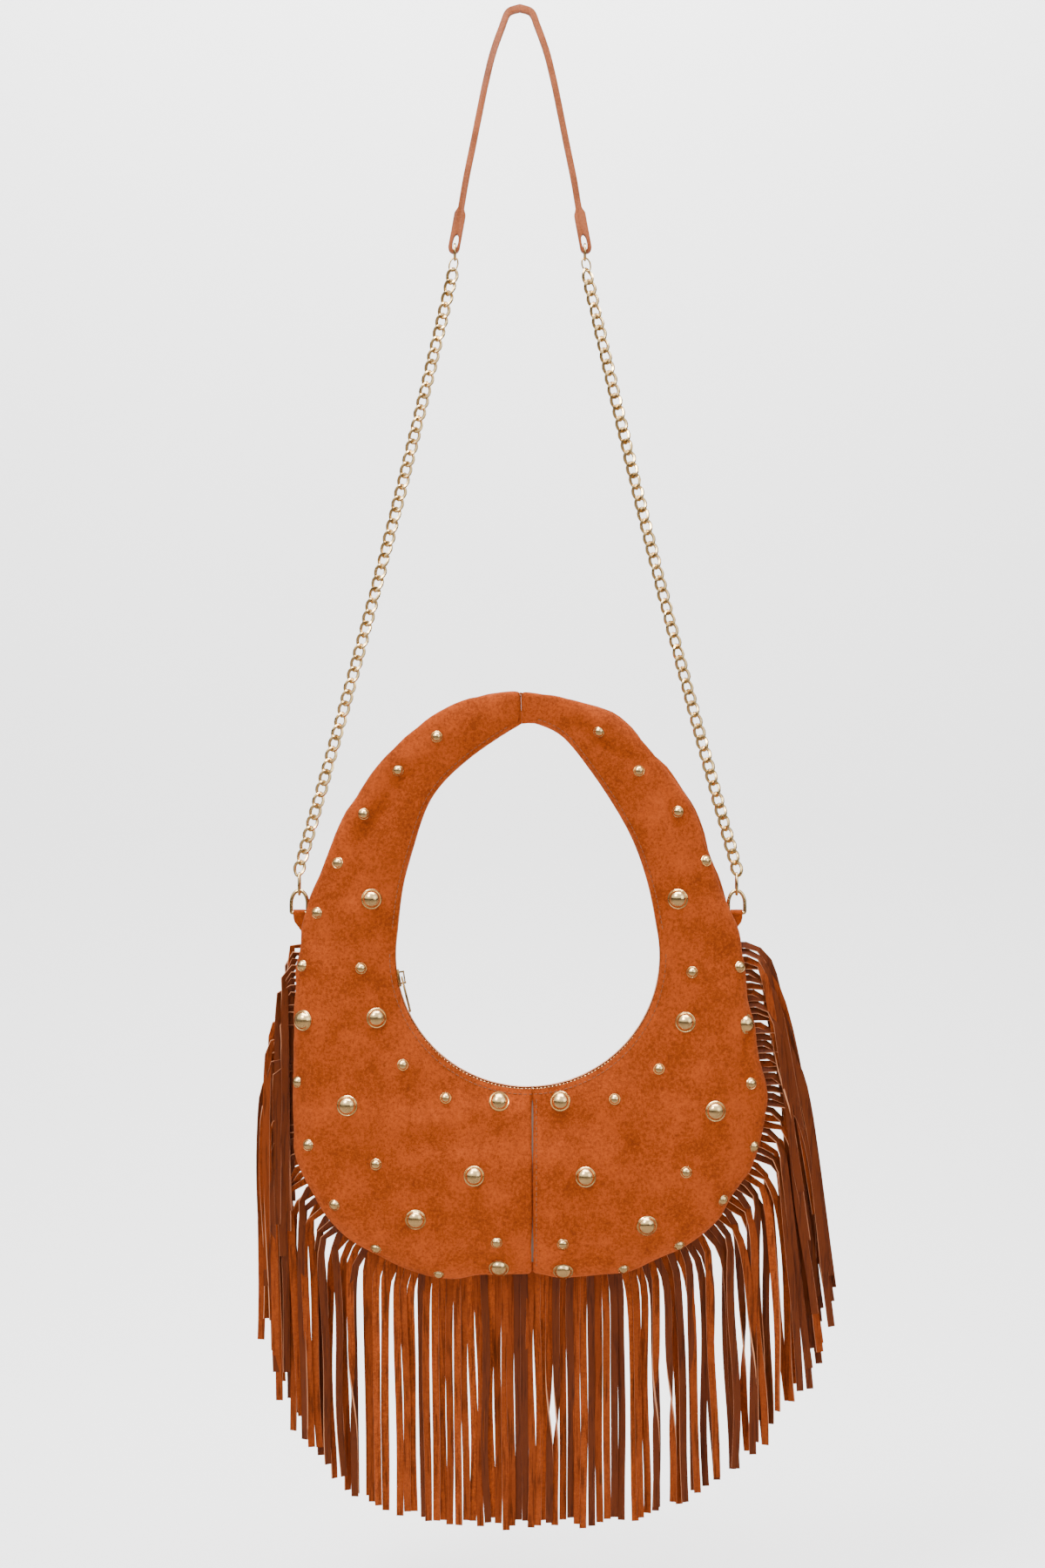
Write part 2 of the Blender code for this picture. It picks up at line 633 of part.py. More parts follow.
def prism(name, outline, half_width, finish):
    """Front-view outline drawn out along Y."""
    def build(shape):
        face = shape.faces.new([shape.verts.new((p.x, -half_width, p.y)) for p in outline])
        drawn = bmesh.ops.extrude_face_region(shape, geom=[face])["geom"]
        moved = [item for item in drawn if isinstance(item, bmesh.types.BMVert)]
        bmesh.ops.translate(shape, verts=moved, vec=(0.0, 2 * half_width, 0.0))
    return place(name, mesh_from(name, build), finish)


def make_strap(finish):
    strap = prism("shoulder_strap", strap_outline(), STRAP_HALF_WIDTH, finish)
    for half, hand in (("left", -1), ("right", 1)):
        centre = Vector((hand * EYE_CENTRE[0], EYE_CENTRE[1])) * MM
        run = Vector((hand * sin(EYE_SLANT), -cos(EYE_SLANT)))
        side = Vector((-run.y, run.x))
        ring = [centre + run * EYE_HALF_LENGTH * cos(a) + side * EYE_HALF_WIDTH * sin(a)
                for a in (2 * pi * k / 12 for k in range(12))]
        cutter = prism(f"strap_eye_{half}", ring, 2 * STRAP_HALF_WIDTH, finish)
        hide(cutter)
        eye = strap.modifiers.new(f"eye {half}", "BOOLEAN")
        eye.operation = "DIFFERENCE"
        eye.object = cutter
    return strap


# ---------------------------------------------------------------- fringe

def seam_line():
    """Bag's outer seam from the fringe's start on the left, round the hem, to the right."""
    line = []
    for half in ("left", "right"):
        part = []
        for k in range(121):
            share = HOOP_SHARE - 0.05 + (1.05 - HOOP_SHARE) * k / 120
            inner, outer = ruling(half, share)
            out = (outer - inner).normalized()
            seam = outer - out * EDGE_RECESS
            if seam.y < FRINGE_START:
                part.append(seam)
        line += part if half == "left" else part[::-1]
    return line


def make_fringe(finish):
    """Suede strip whose header is caught in the seam; the strands hang from it."""
    line = seam_line()
    count = len(FRINGE_TIPS)
    front, back = [], []
    for k, tip in enumerate(FRINGE_TIPS):
        share = k / (count - 1)
        seam = along(line, share)
        run = (along(line, min(share + 0.01, 1.0)) - along(line, max(share - 0.01, 0.0)))
        out = Vector((run.y, -run.x)).normalized()
        header, clear = seam - out * FRINGE_HEADER, seam + out * FRINGE_OUT
        end = Vector(tip) * MM
        spots = (header, clear, clear.lerp(end, 0.3), clear.lerp(end, 0.7), end)
        for rows, side in ((front, -1), (back, 1)):
            rows.append([DATUM + Vector((p.x, side * half * MM, p.y))
                         for p, half in zip(spots, FRINGE_HALF)])
    return place("fringe", slab_mesh("fringe", front, back), finish)


# ---------------------------------------------------------------- assembly

def hang_on(name, point, pieces):
    """Empty on a joint's axis, parent of the pieces that turn about it."""
    axis = bpy.data.objects.new(name, None)
    axis.location = point
    bpy.context.scene.collection.objects.link(axis)
    bpy.context.view_layer.update()
    for piece in pieces:
        piece.parent = axis
        piece.matrix_parent_inverse = axis.matrix_world.inverted()
    return axis


def main():
    clear_scene()
    suede = material("suede", (0.42, 0.13, 0.028), 0.95)
    fringe_suede = material("fringe_suede", (0.33, 0.085, 0.022), 0.8)
    cloth = material("lining_cloth", (0.10, 0.06, 0.04), 0.9)
    tape = material("tape_cloth", (0.22, 0.08, 0.03), 0.9)
    brass = material("brass", (0.83, 0.62, 0.33), 0.2, 1.0)
    tan = material("tan_leather", (0.36, 0.15, 0.065), 0.5)

    fronts = [make_panel(half, -1, suede) for half in ("left", "right")]
    for half in ("left", "right"):
        make_panel(half, 1, suede)
    make_lining(cloth)
    make_studs(surface_tree(fronts), brass)
    make_zip_tape(tape)
    make_zip_teeth(brass)
    make_fringe(fringe_suede)
    for half in ("left", "right"):
        make_tab(half, suede)
    bag = [thing for thing in bpy.data.objects if thing.type == "MESH"]

    slider = make_slider(brass)
    pull = make_pull(brass)
    rings = [make_d_ring(half, brass) for half in ("left", "right")]
    chains = make_chain("left", brass) + make_chain("right", brass)
    make_strap(tan)

    chain_axis = hang_on("chain_axis", (0.0, 0.0, STRAP_RING_Z), chains)
    ring_axis = hang_on("ring_axis", (0.0, 0.0, BAR_Z + D_HEIGHT), rings)
    tab_axis = hang_on("tab_axis", (0.0, 0.0, BAR_Z), bag)
    zip_axis = hang_on("zip_axis", DATUM, [slider])
    pull_axis = hang_on("pull_axis", on_arc(PULL_PIVOT_RADIUS, SLIDER_ANGLE), [pull])
    for child, parent in ((ring_axis, chain_axis), (tab_axis, ring_axis),
                          (zip_axis, tab_axis), (pull_axis, zip_axis)):
        bpy.context.view_layer.update()
        child.parent = parent
        child.matrix_parent_inverse = parent.matrix_world.inverted()


main()
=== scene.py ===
import json
from math import asin, atan2, cos, exp, pi, radians, sin

import bmesh
import bpy
from mathutils import Matrix, Vector, noise
from mathutils.bvhtree import BVHTree


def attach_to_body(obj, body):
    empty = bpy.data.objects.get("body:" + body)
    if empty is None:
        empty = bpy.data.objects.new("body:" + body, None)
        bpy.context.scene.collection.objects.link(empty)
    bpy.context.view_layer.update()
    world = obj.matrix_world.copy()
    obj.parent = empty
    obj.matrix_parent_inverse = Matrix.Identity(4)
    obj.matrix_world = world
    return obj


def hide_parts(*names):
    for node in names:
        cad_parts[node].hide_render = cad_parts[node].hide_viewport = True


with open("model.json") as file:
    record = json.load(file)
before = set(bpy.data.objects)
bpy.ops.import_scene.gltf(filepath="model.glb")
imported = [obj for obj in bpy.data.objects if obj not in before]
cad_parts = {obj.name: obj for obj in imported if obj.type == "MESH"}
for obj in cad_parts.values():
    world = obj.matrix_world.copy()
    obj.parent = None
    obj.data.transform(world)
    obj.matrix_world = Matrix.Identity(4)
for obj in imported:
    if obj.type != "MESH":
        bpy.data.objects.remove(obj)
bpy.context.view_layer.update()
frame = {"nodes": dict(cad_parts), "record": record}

bl_info = {
    "name": "Fringed Suede Hoop Bag",
    "version": (1, 0, 0),
    "blender": (4, 5, 0),
    "location": "View3D > Sidebar > Bag",
    "description": "Builds a fringed suede hoop bag with studs, a zip and a chain strap",
    "category": "Add Mesh",
}

FINISH = {entry["slot"]: entry["base_color"] for entry in frame["record"]["materials"]}
MM = 0.001

# ---------------------------------------------------------------- sizes shared by the pieces
# The bag is laid out around its datum, the centre of the arc that the zip runs along.

DATUM = Vector((5.1, 0.0, -614.0)) * MM
MOUTH_RADIUS = 86.0 * MM
MOUTH_END = radians(8.0)
SEAM_X = 3.0 * MM
HALF_MOUTH = 8.0 * MM
EDGE_RECESS = 4.0 * MM
SEAM_HALF_GAP = 2.0 * MM
HOOP_HALF_GAP = 1.0 * MM
CREST = 0.58
OUTER = {
    "right": ((-4.5, 172.2), (27, 166.4), (59, 154.5), (84, 129), (102, 104.7), (113, 82.6),
              (129, 34.5), (136, 16.4), (141, -14.2), (149.4, -56), (155.7, -88),
              (148.3, -127.4), (136, -152), (114, -180), (84, -197), (52, -206), (3, -206)),
    "left": ((-4.5, 172.2), (-36, 167.5), (-62, 156.2), (-91, 130.2), (-109, 105.8),
             (-123.4, 78.7), (-143.8, 32.3), (-148.3, 9.6), (-150.6, -30), (-153.4, -78),
             (-151.7, -111.5), (-145.5, -139.2), (-119, -181), (-91, -198), (-60, -207),
             (3, -206)),
}
HOOP_INNER = {
    "right": ((-4, 150.5), (6, 150.3), (23.2, 141.5), (42, 118.3), (59, 92.3), (70.2, 70.2),
              (79, 43)),
    "left": ((-4, 150.5), (-20.4, 140.4), (-38.5, 127.4), (-55.5, 111.5), (-66.2, 94.5),
             (-75.3, 66.2), (-81.5, 42)),
}
RING_LEVEL = 16.4 * MM
DEPTH = ((0.0, 7.0), (0.12, 8.5), (0.33, 13.0), (0.5, 20.0), (0.7, 25.0), (1.0, 27.0))
HOOP_SHARE = 0.35

LARGE_STUDS = ((-101, 37), (97, 37), (-145, -41), (143, -43.5), (-97.5, -39.5), (101.5, -42),
               (-116, -95), (120.5, -98.5), (-18.5, -93.5), (21, -93.5), (-34.5, -140),
               (37, -140.5), (-72, -168), (76.5, -172), (-19, -203), (23, -204))
SMALL_STUDS = ((-146, -6), (140.5, -5.5), (-107.5, -7.5), (106, -10), (-80.5, -69.5),
               (84.5, -72), (-53, -91), (56, -91.5), (-149, -81), (144, -81.5),
               (-141.5, -121), (146, -122.5), (-97.5, -132.5), (101.5, -137.5),
               (-124.5, -159.5), (126, -157), (-20, -183), (22.5, -184), (-98, -188.5),
               (99, -188), (-57.5, -205), (62, -202),
               (-59, 142), (46, 145), (-84, 120), (72, 120), (-106, 92), (97, 93.5),
               (-123, 60.5), (116, 62), (-136.5, 28))
STUD_CLEAR_OF_SEAM = 3.0 * MM

TEETH_RADIUS = 87.7 * MM

BAR_Z = -586.4 * MM
D_RING_X = {"left": -143.5 * MM, "right": 141.0 * MM}
D_HALF_WIDTH, D_HEIGHT, D_WIRE = 5.3 * MM, 14.4 * MM, 1.2 * MM
STRAP_RING_X, STRAP_RING_Z = 42.3 * MM, -156.6 * MM
STRAP_RING_RADIUS, END_WIRE = 5.1 * MM, 0.8 * MM
LINK_HALF_LENGTH, LINK_HALF_WIDTH, LINK_WIRE = 6.9 * MM, 3.2 * MM, 0.9 * MM
CHAIN_SAG = 3.0 * MM
CURB_HALF_WIDTH, CURB_WIRE = 3.2 * MM, 1.08 * MM
JUMP_HALF_WIDTH, JUMP_WIRE = 2.7 * MM, 0.55 * MM
STRAP_ROUTE = ((0, 2.0), (7.5, -0.9), (11.3, -9.5), (17.5, -27), (22.4, -47), (27, -69.5),
               (31, -89.5), (35, -109), (38.9, -132), (42.9, -153.8))
STRAP_HALF, STRAP_END_HALF, STRAP_HALF_WIDTH = 2.0 * MM, 3.7 * MM, 3.2 * MM
STRAP_FOLD = 24.0 * MM
STRAP_CLEARANCE = 0.15 * MM
EYE_CENTRE, EYE_SLANT = (41.9, -150.4), radians(10.3)
EYE_HALF_WIDTH, EYE_HALF_LENGTH = 1.8 * MM, 5.3 * MM
FRINGE_START = 9.0 * MM
FRINGE_HEADER = 2.0 * MM
STRAND_STEPS = 18
STRAND_WIDTH_SHARE = 1.14         # of the pitch, so that neighbours close up

# Stage, in metres; each lamp has its name, place, aim, size and watts
FLOOR_Z, WALL_Y, WALL_TOP = -1.05, 1.05, 2.6
STAGE_BEND, STAGE_REACH = 0.5, 9.0
CAMERA_PLACE, CAMERA_LENS = (0.0017, -1.7, -0.5026), 60.0
LAMPS = (("key", (-0.9, -1.3, 0.9), (0, 0, -0.6), 0.7, 40),
         ("fill", (1.5, -1.4, 0.1), (0, 0, -0.6), 1.2, 9),
         ("wall", (0.0, 0.15, 1.3), (0, 1.2, -0.7), 1.6, 140),
         ("behind", (-0.5, 2.5, 0.7), (0, 0, -0.6), 1.6, 34))


# ---------------------------------------------------------------- mesh tools

def place(name, mesh, finish=None):
    """Object at the origin that carries a mesh."""
    if finish is not None:
        mesh.materials.clear()
        mesh.materials.append(finish)
    made = bpy.data.objects.new(name, mesh)
    bpy.context.scene.collection.objects.link(made)
    return made


def mesh_from(name, build, outward=True):
    """Mesh made by a function that fills a bmesh."""
    shape = bmesh.new()
    build(shape)
    if outward:
        bmesh.ops.recalc_face_normals(shape, faces=shape.faces)
    mesh = bpy.data.meshes.new(name)
    shape.to_mesh(mesh)
    shape.free()
    return mesh


def grid_mesh(name, rows, flip=False):
    """Open sheet over a grid of points."""
    def build(shape):
        grid = [[shape.verts.new(point) for point in row] for row in rows]
        for upper, lower in zip(grid, grid[1:]):
            for j in range(len(upper) - 1):
                corners = [upper[j], lower[j], lower[j + 1], upper[j + 1]]
                shape.faces.new(corners[::-1] if flip else corners)
    return mesh_from(name, build, outward=False)


def bake(thing, smooth_angle=radians(38)):
    """Turn an object's evaluated shape into its plain mesh."""
    graph = bpy.context.evaluated_depsgraph_get()
    mesh = bpy.data.meshes.new_from_object(thing.evaluated_get(graph), depsgraph=graph)
    name = thing.name
    if thing.type == "MESH":
        thing.modifiers.clear()
        thing.data = mesh
    else:
        bpy.data.objects.remove(thing)
        thing = place(name, mesh)
    mesh.shade_smooth()
    mesh.set_sharp_from_angle(angle=smooth_angle)
    return thing


def solidify(thing, depth, offset=-1.0):
    wall = thing.modifiers.new("wall", "SOLIDIFY")
    wall.thickness, wall.offset, wall.use_even_offset = depth, offset, False


def round_edges(thing, width, segments=3, angle=35):
    bevel = thing.modifiers.new("soft edges", "BEVEL")
    bevel.width, bevel.segments, bevel.limit_method = width, segments, "ANGLE"
    bevel.angle_limit = radians(angle)


def wire(name, points, radius, finish, closed=False, resolution=4):
    """Round wire through points, as a mesh."""
    curve = bpy.data.curves.new(name, "CURVE")
    curve.dimensions = "3D"
    curve.bevel_depth, curve.bevel_resolution = radius, resolution
    curve.use_fill_caps = not closed
    spline = curve.splines.new("POLY")
    spline.points.add(len(points) - 1)
    for knot, point in zip(spline.points, points):
        knot.co = (*point, 1.0)
    spline.use_cyclic_u = closed
    curve.materials.append(finish)
    made = bpy.data.objects.new(name, curve)
    bpy.context.scene.collection.objects.link(made)
    return bake(made, radians(60))


def box(shape, low, high):
    made = bmesh.ops.create_cube(shape, size=1.0)["verts"]
    for vert in made:
        vert.co = Vector([low[k] if vert.co[k] < 0 else high[k] for k in range(3)])


def attach(thing, body, slot, *nodes):
    """Fix a finished piece to its body and hide the solids it stands for."""
    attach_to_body(thing, body)
    if nodes:
        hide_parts(*nodes)
    return thing


# ---------------------------------------------------------------- lines and the suede shell

def ease(keys, share):
    """Smooth value at a share of the way through a list of (share, value)."""
    for (a, low), (b, high) in zip(keys, keys[1:]):
        if share <= b:
            part = max(0.0, (share - a) / (b - a))
            return low + (high - low) * part * part * (3 - 2 * part)
    return keys[-1][1]


def smooth_line(points, per_span=10):
    """Catmull-Rom curve through points given as x, z."""
    knots = [Vector(p) for p in points]
    knots = [knots[0] * 2 - knots[1]] + knots + [knots[-1] * 2 - knots[-2]]
    line = []
    for a, b, c, d in zip(knots, knots[1:], knots[2:], knots[3:]):
        for step in range(per_span):
            u = step / per_span
            line.append(0.5 * (2 * b + (c - a) * u + (2 * a - 5 * b + 4 * c - d) * u * u
                               + (3 * b - a - 3 * c + d) * u ** 3))
    return line + [knots[-2]]


def line_length(line):
    return sum((b - a).length for a, b in zip(line, line[1:]))


def along(line, share):
    """Point at a share of the length of a polyline."""
    lengths = [(b - a).length for a, b in zip(line, line[1:])]
    rest = share * sum(lengths)
    for a, b, length in zip(line, line[1:], lengths):
        if rest <= length:
            return a.lerp(b, rest / length)
        rest -= length
    return line[-1]


def half_rails(half):
    outer = [p * MM for p in smooth_line(OUTER[half])]
    split = next(i for i, p in enumerate(outer) if p.y < RING_LEVEL)
    sign = 1 if half == "right" else -1
    start = MOUTH_END if half == "right" else pi - MOUTH_END
    end = (-0.5 * pi if half == "right" else 1.5 * pi) + asin(SEAM_X / MOUTH_RADIUS)
    arc = [Vector((cos(a), sin(a))) * MOUTH_RADIUS
           for a in (start + (end - start) * k / 40 for k in range(41))]
    first = (sign * MOUTH_RADIUS * cos(MOUTH_END) / MM, MOUTH_RADIUS * sin(MOUTH_END) / MM)
    inner = [p * MM for p in smooth_line(HOOP_INNER[half] + (first,))]
    return {"hoop": (inner, outer[:split + 1]), "pouch": (arc, outer[split:])}


RAILS = {half: half_rails(half) for half in ("left", "right")}


def ruling(half, share):
    """Inner and outer edge points at a share of the half bag."""
    if share <= HOOP_SHARE:
        inner, outer = RAILS[half]["hoop"]
        part = share / HOOP_SHARE
    else:
        inner, outer = RAILS[half]["pouch"]
        part = (share - HOOP_SHARE) / (1 - HOOP_SHARE)
    return along(inner, part), along(outer, part)


def mouth_half(share):
    return ease(((0.0, HOOP_HALF_GAP), (HOOP_SHARE - 0.1, HOOP_HALF_GAP),
                 (HOOP_SHARE, HALF_MOUTH), (1.0, HALF_MOUTH)), share)


def seam_half(share):
    return ease(((0.0, HOOP_HALF_GAP), (HOOP_SHARE - 0.06, HOOP_HALF_GAP),
                 (HOOP_SHARE, SEAM_HALF_GAP), (1.0, SEAM_HALF_GAP)), share)


def shell_point(edges, side, share, column):
    """Outside of the smooth suede; side is -1 in front and +1 behind."""
    inner, outer = edges
    width = (outer - inner).length
    depth = ease(DEPTH, share) * MM
    if column <= CREST:
        low = mouth_half(share)
        pouch = (low - HOOP_HALF_GAP) / (HALF_MOUTH - HOOP_HALF_GAP)
        y = low + (depth - low) * sin(pi / 2 * column / CREST) ** (0.5 + 0.4 * pouch)
        reach = column
    else:
        last = pi - asin(1 - EDGE_RECESS / ((1 - CREST) * width))
        turn = (column - CREST) / (1 - CREST) * last
        swell = (depth - seam_half(share)) / (1 - cos(last))
        y = depth - swell + swell * cos(turn)
        reach = CREST + (1 - CREST) * sin(turn)
    flat = inner.lerp(outer, reach)
    return DATUM + Vector((flat.x, side * y, flat.y))


# Folds of the front: x, z, direction in degrees, half length, half width, depth, millimetres
FOLDS = ((-99, 90, 62, 26, 5, 2.2), (-78, 118, 35, 16, 4, 1.4), (47, 140, -28, 22, 5, 2.0),
         (92, 96, -58, 20, 4, 1.3), (-112, 52, 80, 20, 4, 1.2), (112, 30, -78, 24, 4, 1.3),
         (-60, -118, 22, 34, 7, 1.3), (66, -120, -20, 36, 7, 1.3), (140, -60, 86, 38, 2.6, 1.3),
         (-128, -70, 92, 34, 5, 1.3), (-8, -165, 84, 26, 4, 0.9), (-40, -192, 8, 22, 4, 1.1),
         (48, -190, -10, 24, 4, 1.1), (100, -160, 50, 22, 5, 1.0), (-105, -158, -48, 24, 5, 1.1))


def relief(x, z, side, column, softness):
    """How far the worn suede stands out of its smooth shape; folds lie deeper than it."""
    mirror = 1 if side < 0 else -1
    total = 0.0
    for fx, fz, way, long_half, wide_half, deep in FOLDS:
        dx, dz = x / MM * mirror - fx, z / MM - fz
        a = radians(way)
        u, v = dx * cos(a) + dz * sin(a), dz * cos(a) - dx * sin(a)
        v += 2.2 * sin(u / 13.0)
        fall = (u / long_half) ** 2
        if fall < 6:
            total -= deep * exp(-fall) * (exp(-(v / wide_half) ** 2)
                                          - 0.45 * exp(-((v - 1.9 * wide_half)
                                                         / (1.2 * wide_half)) ** 2))
    spot = Vector((x, z, 0.31 * side)) * 1000
    total += 1.1 * noise.noise(spot / 34) + 0.42 * noise.noise(spot / 12)
    if z < 0:
        total -= 1.5 * exp(-abs(x - SEAM_X) / (0.9 * MM)) + 0.7 * exp(-abs(x - SEAM_X)
                                                                      / (5.0 * MM))
    elif z > 0.14:
        total -= 1.3 * exp(-abs(x + 4.5 * MM) / (1.0 * MM)) + 0.8 * exp(
            -abs(x + 4.5 * MM) / (6.0 * MM))
    edge = min(1.0, column / 0.06) * min(1.0, (1.0 - column) / 0.12)
    return total * MM * edge * softness


def shell_grid(half, side, rows, columns, softness):
    hand = 1 if half == "right" else -1
    near = (0.0012, 0.0028, 0.005, 0.0078)
    shares = sorted([i / rows for i in range(rows + 1)] + list(near) + [1 - n for n in near])
    rows = len(shares) - 1
    grid = []
    for i, share in enumerate(shares):
        edges = ruling(half, share)
        line = []
        for j in range(columns + 1):
            column = j / columns
            column = column * column * (3 - 2 * column) * 0.35 + column * 0.65
            point = shell_point(edges, side, share, column)
            if share > HOOP_SHARE and column > CREST:
                sway = noise.noise(Vector((point.x * 38, 4.4, point.z * 38)))
                out = (edges[1] - edges[0]).normalized() * sway * 3.4 * MM
                out *= (column - CREST) / (1 - CREST) * min(1.0, (1 - share) / 0.03)
                point += Vector((out.x, 0, out.y))
            if i in (0, rows):
                point.x += hand * 0.03 * MM
            line.append((point, column))
        grid.append(line)
    worn = []
    for i, line in enumerate(grid):
        row = []
        for j, (point, column) in enumerate(line):
            up = grid[max(i - 1, 0)][j][0]
            down = grid[min(i + 1, rows)][j][0]
            left, right = line[max(j - 1, 0)][0], line[min(j + 1, columns)][0]
            normal = (down - up).cross(right - left).normalized()
            normal *= 1 if (half == "right") == (side < 0) else -1
            lift = relief(point.x - DATUM.x, point.z - DATUM.z, side, column, softness)
            shifted = point + normal * lift
            if i in (0, rows):
                shifted.x = point.x
            row.append(shifted)
        worn.append(row)
    return worn


def seam_line():
    """Outer seam from the fringe's start on the left, round the hem, to the right."""
    line = []
    for half in ("left", "right"):
        part = []
        for k in range(241):
            share = HOOP_SHARE - 0.05 + (1.05 - HOOP_SHARE) * k / 240
            inner, outer = ruling(half, min(share, 1.0))
            seam = outer - (outer - inner).normalized() * EDGE_RECESS
            if seam.y < FRINGE_START:
                part.append(seam)
        line += part if half == "left" else part[::-1]
    return line


def on_arc(radius, angle, y=0.0):
    return DATUM + Vector((radius * cos(angle), y, radius * sin(angle)))


# ---------------------------------------------------------------- shader node groups

def new_group(name, inputs, outputs):
    """Shader group with its sockets; returns the tree and its input and output nodes."""
    tree = bpy.data.node_groups.new(name, "ShaderNodeTree")
    for label, kind, value in inputs:
        socket = tree.interface.new_socket(label, in_out="INPUT", socket_type=kind)
        socket.default_value = value
    for label, kind in outputs:
        tree.interface.new_socket(label, in_out="OUTPUT", socket_type=kind)
    return tree, tree.nodes.new("NodeGroupInput"), tree.nodes.new("NodeGroupOutput")


def noise_node(tree, vector, scale, detail=3.0, rough=0.55):
    made = tree.nodes.new("ShaderNodeTexNoise")
    made.inputs["Detail"].default_value = detail
    made.inputs["Roughness"].default_value = rough
    if isinstance(scale, (int, float)):
        made.inputs["Scale"].default_value = scale
    else:
        tree.links.new(scale, made.inputs["Scale"])
    tree.links.new(vector, made.inputs["Vector"])
    return made.outputs["Fac"]


def spread(tree, value, from_low, from_high, to_low, to_high):
    made = tree.nodes.new("ShaderNodeMapRange")
    for socket, number in zip(made.inputs[1:5], (from_low, from_high, to_low, to_high)):
        socket.default_value = number
    tree.links.new(value, made.inputs[0])
    return made.outputs[0]


def sum_of(tree, *terms):
    """Weighted sum of values, each given as (socket, weight)."""
    total = None
    for socket, weight in terms:
        part = tree.nodes.new("ShaderNodeMath")
        part.operation = "MULTIPLY_ADD"
        tree.links.new(socket, part.inputs[0])
        part.inputs[1].default_value = weight
        part.inputs[2].default_value = 0.0
        if total is not None:
            tree.links.new(total, part.inputs[2])
        total = part.outputs[0]
    return total


def mixed(tree, factor, first, second, way="MIX"):
    """Colour mixed from two colours or sockets."""
    made = tree.nodes.new("ShaderNodeMix")
    made.data_type, made.blend_type = "RGBA", way
    tree.links.new(factor, made.inputs[0])
    for socket, value in ((made.inputs[6], first), (made.inputs[7], second)):
        if isinstance(value, bpy.types.NodeSocket):
            tree.links.new(value, socket)
        else:
            socket.default_value = value
    return made.outputs[2]


VECTOR, COLOUR, FLOAT = "NodeSocketVector", "NodeSocketColor", "NodeSocketFloat"


def suede_nap_group():
    """Brushed nap: large soft patches, streaks where it was stroked, and short fibres."""
    tree, given, out = new_group(
        "suede nap",
        (("Vector", VECTOR, (0, 0, 0)), ("Light", COLOUR, (1, 1, 1, 1)),
         ("Dark", COLOUR, (0, 0, 0, 1)), ("Patch Scale", FLOAT, 30.0)),
        (("Colour", COLOUR), ("Height", FLOAT), ("Roughness", FLOAT)))
    patches = noise_node(tree, given.outputs["Vector"], given.outputs["Patch Scale"], 4.0, 0.6)
    streaks = noise_node(tree, given.outputs["Vector"], 520.0, 4.0, 0.75)
    fibres = noise_node(tree, given.outputs["Vector"], 1500.0, 2.0, 0.7)
    tone = sum_of(tree, (patches, 0.30), (streaks, 0.50), (fibres, 0.26))
    factor = spread(tree, tone, 0.435, 0.635, 0.0, 1.0)
    colour = mixed(tree, factor, given.outputs["Dark"], given.outputs["Light"])
    tree.links.new(colour, out.inputs["Colour"])
    tree.links.new(sum_of(tree, (fibres, 0.7), (streaks, 0.5)), out.inputs["Height"])
    tree.links.new(spread(tree, patches, 0.3, 0.7, 0.98, 0.84), out.inputs["Roughness"])
    return tree


def leather_grain_group():
    """Fine pebbled grain with slight burnish."""
    tree, given, out = new_group(
        "leather grain",
        (("Vector", VECTOR, (0, 0, 0)), ("Light", COLOUR, (1, 1, 1, 1)),
         ("Dark", COLOUR, (0, 0, 0, 1)), ("Grain Scale", FLOAT, 900.0)),
        (("Colour", COLOUR), ("Height", FLOAT), ("Roughness", FLOAT)))
    cells = tree.nodes.new("ShaderNodeTexVoronoi")
    tree.links.new(given.outputs["Vector"], cells.inputs["Vector"])
    tree.links.new(given.outputs["Grain Scale"], cells.inputs["Scale"])
    burnish = noise_node(tree, given.outputs["Vector"], 55.0, 4.0)
    tone = sum_of(tree, (burnish, 0.8), (cells.outputs["Distance"], 0.3))
    colour = mixed(tree, spread(tree, tone, 0.35, 0.7, 0.0, 1.0), given.outputs["Dark"],
                   given.outputs["Light"])
    tree.links.new(colour, out.inputs["Colour"])
    tree.links.new(cells.outputs["Distance"], out.inputs["Height"])
    tree.links.new(spread(tree, burnish, 0.3, 0.7, 0.36, 0.56), out.inputs["Roughness"])
    return tree


def metal_wear_group():
    """Polished plating, faintly uneven, with duller rubbed patches."""
    tree, given, out = new_group(
        "metal wear",
        (("Vector", VECTOR, (0, 0, 0)), ("Bright", COLOUR, (1, 1, 1, 1)),
         ("Dull", COLOUR, (0, 0, 0, 1))),
        (("Colour", COLOUR), ("Height", FLOAT), ("Roughness", FLOAT)))
    rubbed = noise_node(tree, given.outputs["Vector"], 190.0, 4.0, 0.6)
    fine = noise_node(tree, given.outputs["Vector"], 1300.0, 2.0)
    colour = mixed(tree, spread(tree, rubbed, 0.38, 0.66, 0.0, 1.0), given.outputs["Bright"],
                   given.outputs["Dull"])
    tree.links.new(colour, out.inputs["Colour"])
    tree.links.new(sum_of(tree, (fine, 0.4), (rubbed, 0.6)), out.inputs["Height"])
    tree.links.new(spread(tree, rubbed, 0.3, 0.7, 0.14, 0.32), out.inputs["Roughness"])
    return tree


